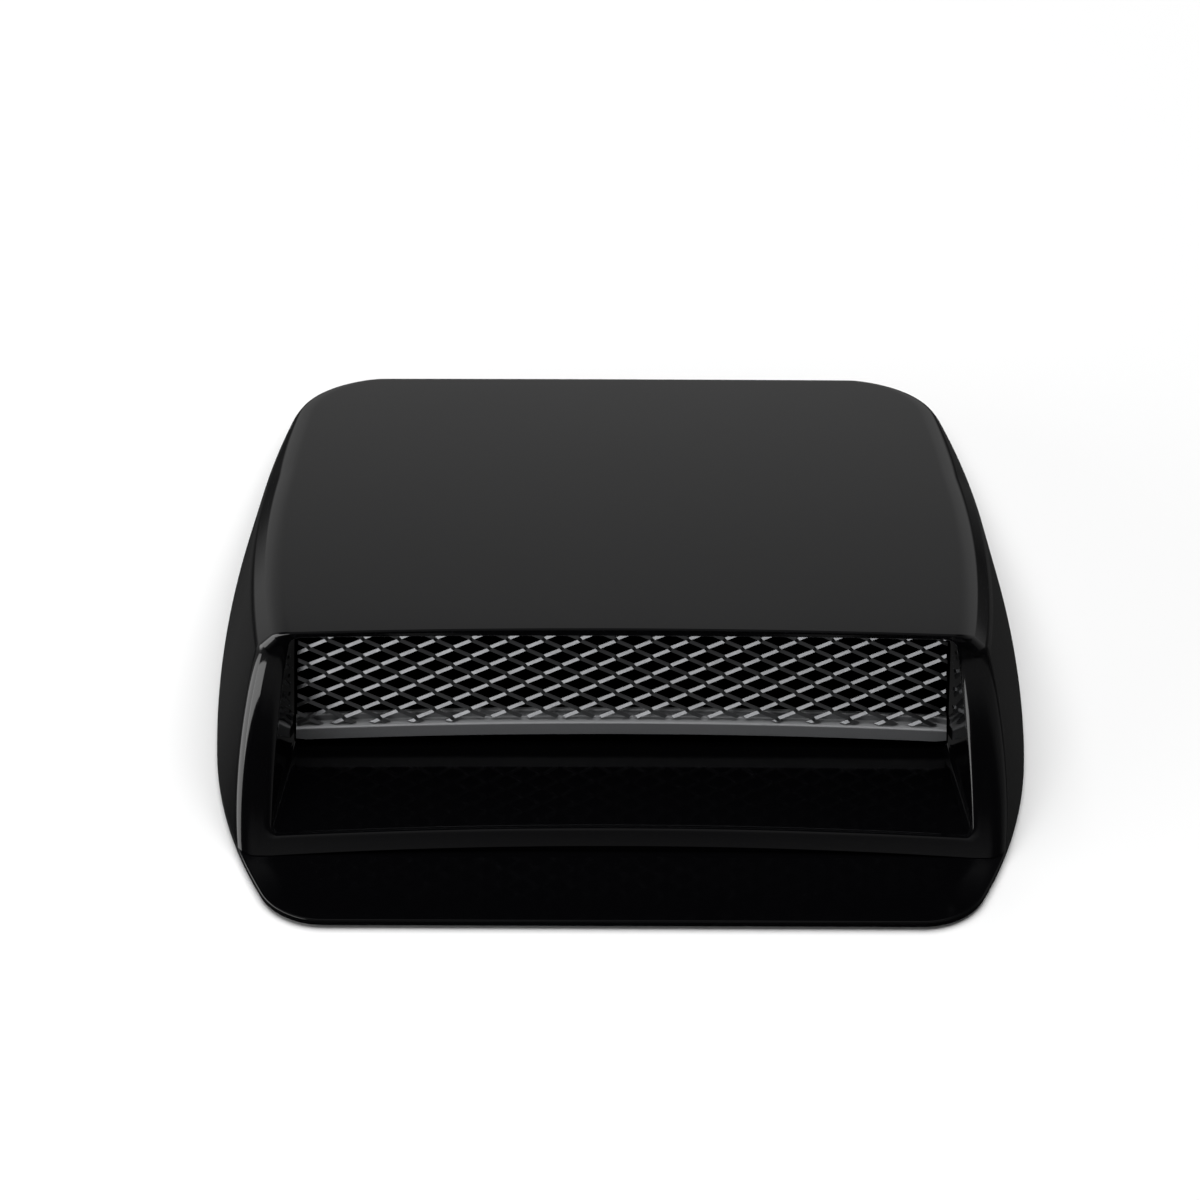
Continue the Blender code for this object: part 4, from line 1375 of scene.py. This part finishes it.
@dataclass
class CoverScrews:
    """Six countersunk screws that come up through the plate into the cover's posts."""

    form: ScoopForm
    shank: float = 2.9 * MM
    length: float = 8.0 * MM
    head: float = 5.6 * MM
    head_height: float = 1.4 * MM
    tip: float = 1.0 * MM
    recess_reach: float = 3.0 * MM
    recess_width: float = 0.7 * MM
    recess_depth: float = 0.9 * MM
    recess_start: float = 0.2 * MM    # the recess's cutters start this far under the head
    recess_taper: Pair = (1.1, 0.35)  # shares of the recess's reach at its mouth and its bottom
    recess_turn: float = 0.7          # radians from one screw's recess to the next one's
    pitch: float = 1.1 * MM           # thread pitch of a 2.9 mm tapping screw
    thread_depth: float = 0.3 * MM
    thread_root: Pair = (0.4, 0.8)    # shares of the pitch between which the thread is deepest
    point: Pair = (0.4 * MM, 0.1 * MM)    # radius and length of the blunt point
    head_edge: float = 0.12 * MM
    sharp_from: float = 30.0          # degrees
    sides: int = 40
    countersink_sides: int = 32
    post_inset: float = 14.5 * MM
    front_depth: float = 65.6 * MM
    middle_depth: float = 160.6 * MM
    rear_span: float = 120.0 * MM
    rear_inset: float = 16.0 * MM

    def places(self) -> list[Pair]:
        """X and depth of the screws.

        Returns:
            Six pairs, in the order of the nodes' numbers.
        """
        found = []
        for depth in (self.front_depth, self.middle_depth):
            across = self.form.half_width(depth) - self.post_inset
            found += [(-across, depth), (across, depth)]
        rear = self.form.total_depth - self.rear_inset
        return found + [(-self.rear_span / 2, rear), (self.rear_span / 2, rear)]

    def profile(self, grow: float) -> list[Pair]:
        """Profile (radius, height) from the tip to the head's flat.

        Args:
            grow: Clearance all round, for the countersink's body.

        Returns:
            The points.
        """
        low = self.form.plate_bottom
        shank, head = self.shank / 2 + grow, self.head / 2 + grow
        end = low + self.length + grow
        return [(0.0, end), (shank, end - self.tip), (shank, low + self.head_height + grow),
                (head, low + grow), (head, low - grow), (0.0, low - grow)]

    def threaded(self) -> list[Pair]:
        """The screw's profile with its thread drawn as ridges.

        Returns:
            The points (radius, height).
        """
        low = self.form.plate_bottom
        crest, root = self.shank / 2, self.shank / 2 - self.thread_depth
        end = low + self.length
        points = [(0.0, end), (self.point[0], end - self.point[1])]
        height = end - self.tip
        while height > low + self.head_height + self.pitch:
            points.append((crest, height))
            points += [(root, height - self.pitch * share) for share in self.thread_root]
            height -= self.pitch
        edge = self.head_edge
        return points + [(root, low + self.head_height), (self.head / 2, low + edge * 2),
                         (self.head / 2, low + edge), (self.head / 2 - edge, low), (0.0, low)]

    def countersinks(self) -> list[bpy.types.Object]:
        """Bodies that cut the countersunk holes in the plate."""
        return [turned(f"countersink {number}", self.profile(self.form.clearance),
                       (x, self.form.place(depth)), self.countersink_sides)
                for number, (x, depth) in enumerate(self.places(), 1)]

    def cross(self, at: Pair, turn: float) -> list[bpy.types.Object]:
        """Two crossed wedges that cut the driver recess.

        Args:
            at: World X and Y of the screw.
            turn: Angle of the first wedge in radians.

        Returns:
            The two bodies.
        """
        low = self.form.plate_bottom
        heights = (low - self.recess_start, low + self.recess_depth)
        bodies = []
        for number, angle in enumerate((turn, turn + math.pi / 2)):
            cos, sin = math.cos(angle), math.sin(angle)
            rings = []
            for height, share in zip(heights, self.recess_taper):
                reach, half = self.recess_reach / 2 * share, self.recess_width / 2
                corners = ((-reach, -half), (reach, -half), (reach, half), (-reach, half))
                rings.append([(at[0] + a * cos - b * sin, at[1] + a * sin + b * cos, height)
                              for a, b in corners])
            bodies.append(lofted(f"recess {number}", rings))
        return bodies

    def build(self) -> list[bpy.types.Object]:
        """Make the six screws.

        Returns:
            The screws, in the order of the nodes' numbers.
        """
        screws = []
        for number, (x, depth) in enumerate(self.places(), 1):
            at = (x, self.form.place(depth))
            screw = turned(f"countersunk_screw_{number}", self.threaded(), at, self.sides)
            carve(screw, self.cross(at, self.recess_turn * number))
            smooth(screw, self.sharp_from)
            screws.append(screw)
        return screws


@dataclass
class MeshRail:
    """The arched bar across the duct that the mesh stands on."""

    form: ScoopForm
    height: float = 5.5 * MM
    width: float = 5.2 * MM
    foot_height: float = 9.8 * MM
    rise: float = 3.6 * MM            # of its arch
    edge_radius: float = 0.7 * MM
    setback: float = 1.3 * MM
    lip_height: float = 3.0 * MM      # of the lip that stands behind the mesh
    lip_width: float = 1.9 * MM
    end_edge: float = 0.5             # how far the ends are drawn in, in edge radii
    steps: int = 60
    edge_steps: int = 4

    def top_at(self, across: float) -> float:
        """Height of the rail's top above the cover's rim."""
        return self.foot_height + self.form.arch(across, self.rise) + self.height

    def build(self) -> bpy.types.Object:
        """Make the rail.

        Returns:
            The rail.
        """
        form = self.form
        half = form.duct_width / 2 - form.clearance
        front = form.mesh_depth - self.setback
        back = front + self.width
        radius = self.edge_radius
        rings = []
        for number in range(self.steps + 1):
            x = half * (2 * number / self.steps - 1)
            inset = radius * self.end_edge if number in (0, self.steps) else 0.0
            top = self.top_at(x) - inset
            low = self.top_at(x) - self.height + inset
            near, far = front + inset, back - inset
            peak = top + self.lip_height
            step = far - self.lip_width
            corners = ((near, low), (far, low), (far, peak), (step, peak), (step, top), (near, top))
            ring = []
            for last, corner, following in zip(corners[-1:] + corners, corners,
                                               corners[1:] + corners[:1]):
                ring += rounded(toward(corner, last, radius), corner,
                                toward(corner, following, radius), self.edge_steps)
            rings.append([form.world(x, depth, z) for depth, z in ring])
        rail = lofted("mesh_rail_satin", rings)
        smooth(rail, MOULDED_ANGLE)
        return rail


@dataclass
class RaisedMesh:
    """Raised expanded mesh: tilted strands between knuckles, cut to the duct."""

    form: ScoopForm
    rail: MeshRail
    side_clearance: float = 0.6 * MM
    thickness: float = 0.9 * MM
    diamond_length: float = 12.3 * MM
    diamond_height: float = 7.8 * MM
    knuckle_length: float = 0.95 * MM
    knuckle_height: float = 0.64 * MM
    twist: float = 0.70 * MM
    edge_margin: float = 0.35 * MM    # cut ends to the limits of the opening
    stub_share: float = 0.85
    phase: float = -2.2 * MM
    row_phase: float = 15.9 * MM
    edge_radius: float = 0.16 * MM
    edge_steps: int = 2
    edge_from: float = 50.0           # degrees; sharper edges of the sheet are softened
    sharp_from: float = 16.0          # degrees

    def limits(self, across: float) -> Pair:
        """Lowest and highest point of the mesh at a distance from the middle.

        Args:
            across: Distance from the middle.

        Returns:
            Two heights above the rim.
        """
        form = self.form
        half = form.duct_width / 2
        low = self.rail.top_at(across) + form.clearance
        high = form.top_height(form.duct_end) - form.wall - form.clearance
        high += form.crown(across, half)
        past = abs(across) - (half - form.mouth_top_radius)
        return low, high - arc_fall(past, form.mouth_top_radius)

    def clip(self, start: Point, end: Point) -> float:
        """Share of the way from start to end at which a strand meets the mesh's cut edge.

        Args:
            start: Point (x, height, depth offset) on a knuckle inside.
            end: Point on the knuckle that is left out.

        Returns:
            The share, from 0 to 1.
        """
        half = self.form.duct_width / 2 - self.side_clearance
        share = self.stub_share
        if abs(end[0]) > half:
            share = min(share, (half - abs(start[0])) / (abs(end[0]) - abs(start[0])))
        low, high = self.limits(start[0])
        low, high = low + self.edge_margin, high - self.edge_margin
        if end[1] < low:
            share = min(share, (start[1] - low) / (start[1] - end[1]))
        if end[1] > high:
            share = min(share, (high - start[1]) / (end[1] - start[1]))
        return share

    def centre(self, row: int, column: int) -> Pair:
        """Centre (x, height) of a knuckle by its row and column."""
        first = self.rail.foot_height + self.rail.height + self.row_phase
        return (self.phase + column * self.diamond_length / 2,
                first + row * self.diamond_height / 2)

    def knuckle(self, row: int, column: int) -> dict[str, Point]:
        """Corners of a knuckle.

        Args:
            row: Its row.
            column: Its column.

        Returns:
            Its left, right, top and bottom point, as (x, height, depth offset).
        """
        x, z = self.centre(row, column)
        reach, rise = self.knuckle_length, self.knuckle_height
        return {"left": (x - reach, z, 0.0), "right": (x + reach, z, 0.0),
                "top": (x, z + rise, self.twist), "bottom": (x, z - rise, -self.twist)}

    def knuckles(self) -> dict[tuple[int, int], dict[str, Point]]:
        """Every knuckle inside the duct, by its row and column.

        Returns:
            The knuckles' corner points.
        """
        form = self.form
        margin = self.edge_margin
        half = form.duct_width / 2 - self.side_clearance - self.knuckle_length - margin
        columns = int(half / self.diamond_length * 2) + 2
        rows = int(form.lip_height / self.diamond_height * 2) + 2
        found = {}
        for row in range(-rows, rows):
            for column in range(-columns, columns):
                x, z = self.centre(row, column)
                low, high = self.limits(x)
                low, high = low + self.knuckle_height + margin, high - self.knuckle_height - margin
                if (row + column) % 2 == 0 and abs(x) < half and low < z < high:
                    found[(row, column)] = self.knuckle(row, column)
        return found

    def build(self) -> bpy.types.Object:
        """Make the mesh.

        Returns:
            The mesh, as thick as its sheet and with softened edges.
        """
        form = self.form
        found = self.knuckles()
        maker = MeshMaker()

        def add(corners: list[Point]) -> None:
            """Add one flat face of the sheet."""
            maker.polygon([(x, form.place(form.mesh_depth) + offset, form.rim + z)
                           for x, z, offset in corners])

        for (row, column), ends in found.items():
            add([ends["left"], ends["bottom"], ends["right"], ends["top"]])
            for up, over in ((1, 1), (1, -1), (-1, 1), (-1, -1)):
                key = (row + up, column + over)
                if key in found and up < 0:
                    continue
                other = found.get(key) or self.knuckle(*key)
                near, far = ("right", "left") if over > 0 else ("left", "right")
                above, below = ("top", "bottom") if up > 0 else ("bottom", "top")
                lines = [(ends[near], other[below]), (ends[above], other[far])]
                if key not in found:
                    lines = [(start, mix(start, end, self.clip(start, end)))
                             for start, end in lines]
                add([lines[0][0], lines[0][1], lines[1][1], lines[1][0]])
        mesh = maker.build("expanded_mesh_grille")
        sheet = mesh.modifiers.new("sheet", "SOLIDIFY")
        sheet.thickness = self.thickness
        sheet.offset = 0.0
        edge = mesh.modifiers.new("edge", "BEVEL")
        edge.width = self.edge_radius
        edge.segments = self.edge_steps
        edge.limit_method = "ANGLE"
        edge.angle_limit = math.radians(self.edge_from)
        apply_modifiers(mesh)
        smooth(mesh, self.sharp_from)
        return mesh


@dataclass
class BonnetVent:
    """The whole vent: makes each piece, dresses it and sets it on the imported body."""

    form: ScoopForm = field(default_factory=ScoopForm)
    fine: Fineness = field(default_factory=Fineness)

    def dress(self, piece: bpy.types.Object, material: bpy.types.Material, slot: str,
              *nodes: str) -> None:
        """Give a piece its finish and its place in the frame.

        Args:
            piece: The piece.
            material: Its material.
            slot: The record's material slot; not used.
            nodes: CAD nodes that it stands for.
        """
        piece.data.materials.clear()
        piece.data.materials.append(material)
        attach(piece, "root")
        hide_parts(*nodes)
        log.info("%s: %d faces", piece.name, len(piece.data.polygons))

    def build(self) -> None:
        """Make and dress every piece."""
        gloss = MouldedGlossAbs().material()
        screws = CoverScrews(self.form)
        rail = MeshRail(self.form)
        cover = ScoopCover(self.form, self.fine).build(screws.places())
        self.dress(cover, gloss, "gloss_black", "scoop_cover")
        plate = BasePlate(self.form).build(screws.countersinks())
        self.dress(plate, gloss, "gloss_black", "base_plate")
        self.dress(rail.build(), SatinAbs().material(), "satin_grey", "mesh_rail")
        mesh = RaisedMesh(self.form, rail).build()
        self.dress(mesh, ExpandedAluminium().material(), "mesh_metal", "mesh_grille")
        zinc = BlackZincSteel().material()
        for number, screw in enumerate(screws.build(), 1):
            self.dress(screw, zinc, "black_zinc", f"cover_screw_{number}")
        foam = FoamTape().material()
        for name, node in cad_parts.items():
            if name.startswith("tape_"):
                node.data.materials.clear()
                node.data.materials.append(foam)
                log.info("%s: packed solid, foam finish", name)


# The studio

@dataclass(frozen=True)
class SoftBox:
    """One soft panel lamp."""

    name: str
    place: Point
    target: Point
    size: Pair
    level: float                      # brightness of the panel's face, where 1 is white
    mirrored: bool = True             # whether gloss shows it

    def build(self) -> None:
        """Make the lamp."""
        light = bpy.data.lights.new(self.name, "AREA")
        light.shape = "RECTANGLE"
        light.size, light.size_y = self.size
        light.energy = self.level * math.pi * self.size[0] * self.size[1]
        lamp = placed(self.name, light)
        lamp.location = self.place
        way = Vector(self.target) - Vector(self.place)
        lamp.rotation_euler = way.to_track_quat("-Z", "Y").to_euler()
        lamp.visible_camera = False
        lamp.visible_glossy = self.mirrored


@dataclass(frozen=True)
class MattPaint(Finish):
    """Plain matt paint of the stage's sheets.

    The eye gets one even colour without any sheen.
    """

    colour: str

    def surface(self, tree: bpy.types.NodeTree, where: bpy.types.NodeSocket) -> bpy.types.Node:
        """Add the node of the paint, which is the same in every place."""
        return add_node(tree, "ShaderNodeBsdfDiffuse", {"Color": linear(self.colour)})


@dataclass(frozen=True)
class Studio:
    """Pale floor, soft panels, the dim room that the gloss mirrors, and the camera."""

    form: ScoopForm
    floor_size: float = 40.0
    floor_colour: str = "#FAFAFA"
    shade_sheet_colour: str = "#040404"     # painted shade: a dark sheet under the vent, seen through its mesh
    shade_sheet_height: float = 0.1 * MM
    shade_sheet_band: float = 15.0 * MM     # from the vent's outline in to the dark sheet's edge
    shade_sheet_start: float = 50.0 * MM    # depth at which the dark sheet starts
    lamp_target: Point = (0.0, 0.0, 0.03)
    azimuth: float = -1.03            # degrees; the camera stands a little to the left
    elevation: float = 40.0
    roll: float = 0.86
    lens: float = 1500.0
    sensor: float = 36.0
    frame_width: float = 0.4094       # real width that the picture's frame shows at the object
    clip_shares: Pair = (0.1, 10.0)   # of the camera's distance, between which it sees
    aim: Point = (-6.9 * MM, -2.3 * MM, 29.2 * MM)
    room_tilt: float = -0.12          # how much lower the room's glow stands towards the right
    room_front: float = 0.50          # share of the glow that is left in front of the vent
    room_dusk: Pair = (-0.2, 0.6)     # depth of the direction over which the glow comes up
    room: tuple[Pair, ...] = (        # brightness of the room by height, from -1 below to 1 above
        (-1.0, 0.012), (-0.63, 0.02), (-0.57, 0.045), (-0.48, 0.05), (-0.40, 0.02),
        (-0.33, 0.04), (-0.24, 0.25), (0.0, 0.29), (0.22, 0.23), (0.45, 0.05), (0.60, 0.02),
        (0.80, 0.03), (0.95, 0.30))

    def sheet(self, name: str, outline: list[Pair], height: float, colour: str) -> None:
        """Make one flat matt sheet of the stage.

        Args:
            name: Name of the sheet.
            outline: Its corners in world X and Y.
            height: Height of the sheet.
            colour: Its colour.
        """
        maker = MeshMaker()
        maker.polygon([(x, y, height) for x, y in outline])
        sheet = maker.build(name)
        sheet.data.materials.append(MattPaint(f"{name}_matt", colour).material())
        sheet.visible_glossy = False

    def floor(self) -> None:
        """Make the pale floor, and a dark sheet of painted shade under the vent's opening."""
        half = self.floor_size / 2
        self.sheet("studio_floor", [(-half, -half), (half, -half), (half, half), (-half, half)],
                   0.0, self.floor_colour)
        # painted shade: a dark sheet where the floor under the vent would lie in its shade
        opening = BasePlate(self.form, band_width=self.shade_sheet_band,
                            opening_depth=self.shade_sheet_start).opening()
        self.sheet("painted_shade_under_vent", opening, self.shade_sheet_height, self.shade_sheet_colour)

    def world(self) -> None:
        """Make the dim room round the set, brightest at the height of the horizon."""
        world = bpy.data.worlds.new("studio_room")
        bpy.context.scene.world = world
        world.use_nodes = True
        tree = world.node_tree
        tree.nodes.clear()
        way = add_node(tree, "ShaderNodeTexCoord").outputs["Generated"]
        parts = add_node(tree, "ShaderNodeSeparateXYZ", {"Vector": way})
        tilted = add_node(tree, "ShaderNodeMath", {
            0: parts.outputs["X"], 1: self.room_tilt, 2: parts.outputs["Z"]},
            operation="MULTIPLY_ADD")
        height = add_node(tree, "ShaderNodeMapRange", {
            "Value": tilted.outputs["Value"], "From Min": -1.0})
        ramp = add_node(tree, "ShaderNodeValToRGB", {"Fac": height.outputs["Result"]})
        stops = ramp.color_ramp.elements
        while len(stops) < len(self.room):
            stops.new(0.5)
        for stop, (place, level) in zip(stops, self.room):
            stop.position = (place + 1) / 2
            stop.color = (level, level, level, 1.0)
        behind = add_node(tree, "ShaderNodeMapRange", {
            "Value": parts.outputs["Y"],
            "From Min": self.room_dusk[0], "From Max": self.room_dusk[1],
            "To Min": self.room_front, "To Max": 1.0}, interpolation_type="SMOOTHSTEP")
        back = add_node(tree, "ShaderNodeBackground", {
            "Color": ramp.outputs["Color"], "Strength": behind.outputs["Result"]})
        add_node(tree, "ShaderNodeOutputWorld", {"Surface": back.outputs["Background"]})

    def lamps(self) -> None:
        """Make the soft panels."""
        target = self.lamp_target
        boxes = (
            SoftBox("left_panel", (-1.15, -0.95, 0.22), target, (1.2, 0.6), 3.0),
            SoftBox("side_panel", (-1.55, 0.1, 0.12), target, (1.3, 0.9), 2.4),
            SoftBox("floor_fill", (0.0, 0.0, 3.0), target, (3.6, 3.6), 3.0, mirrored=False),
        )
        for box in boxes:
            box.build()

    def camera(self) -> None:
        """Make the camera at the picture's angle."""
        data = bpy.data.cameras.new("picture_camera")
        data.sensor_width = self.sensor
        data.lens = self.lens
        distance = self.lens / self.sensor * self.frame_width
        data.clip_start, data.clip_end = (distance * share for share in self.clip_shares)
        a, e = math.radians(self.azimuth), math.radians(self.elevation)
        back = Vector((math.sin(a) * math.cos(e), -math.cos(a) * math.cos(e), math.sin(e)))
        camera = placed("picture_camera", data)
        camera.location = Vector(self.aim) + back * distance
        roll = Matrix.Rotation(math.radians(self.roll), 4, "Z").to_quaternion()
        camera.rotation_mode = "QUATERNION"
        camera.rotation_quaternion = (-back).to_track_quat("-Z", "Y") @ roll
        bpy.context.scene.camera = camera

    def build(self) -> None:
        """Set the studio up round the vent."""
        self.floor()
        self.world()
        self.lamps()
        self.camera()
        bpy.context.scene.view_settings.view_transform = "Standard"


def main() -> None:
    logging.basicConfig(level=logging.INFO, format="%(name)s: %(message)s")
    vent = BonnetVent()
    vent.build()
    Studio(vent.form).build()


if __name__ == "__main__":
    main()
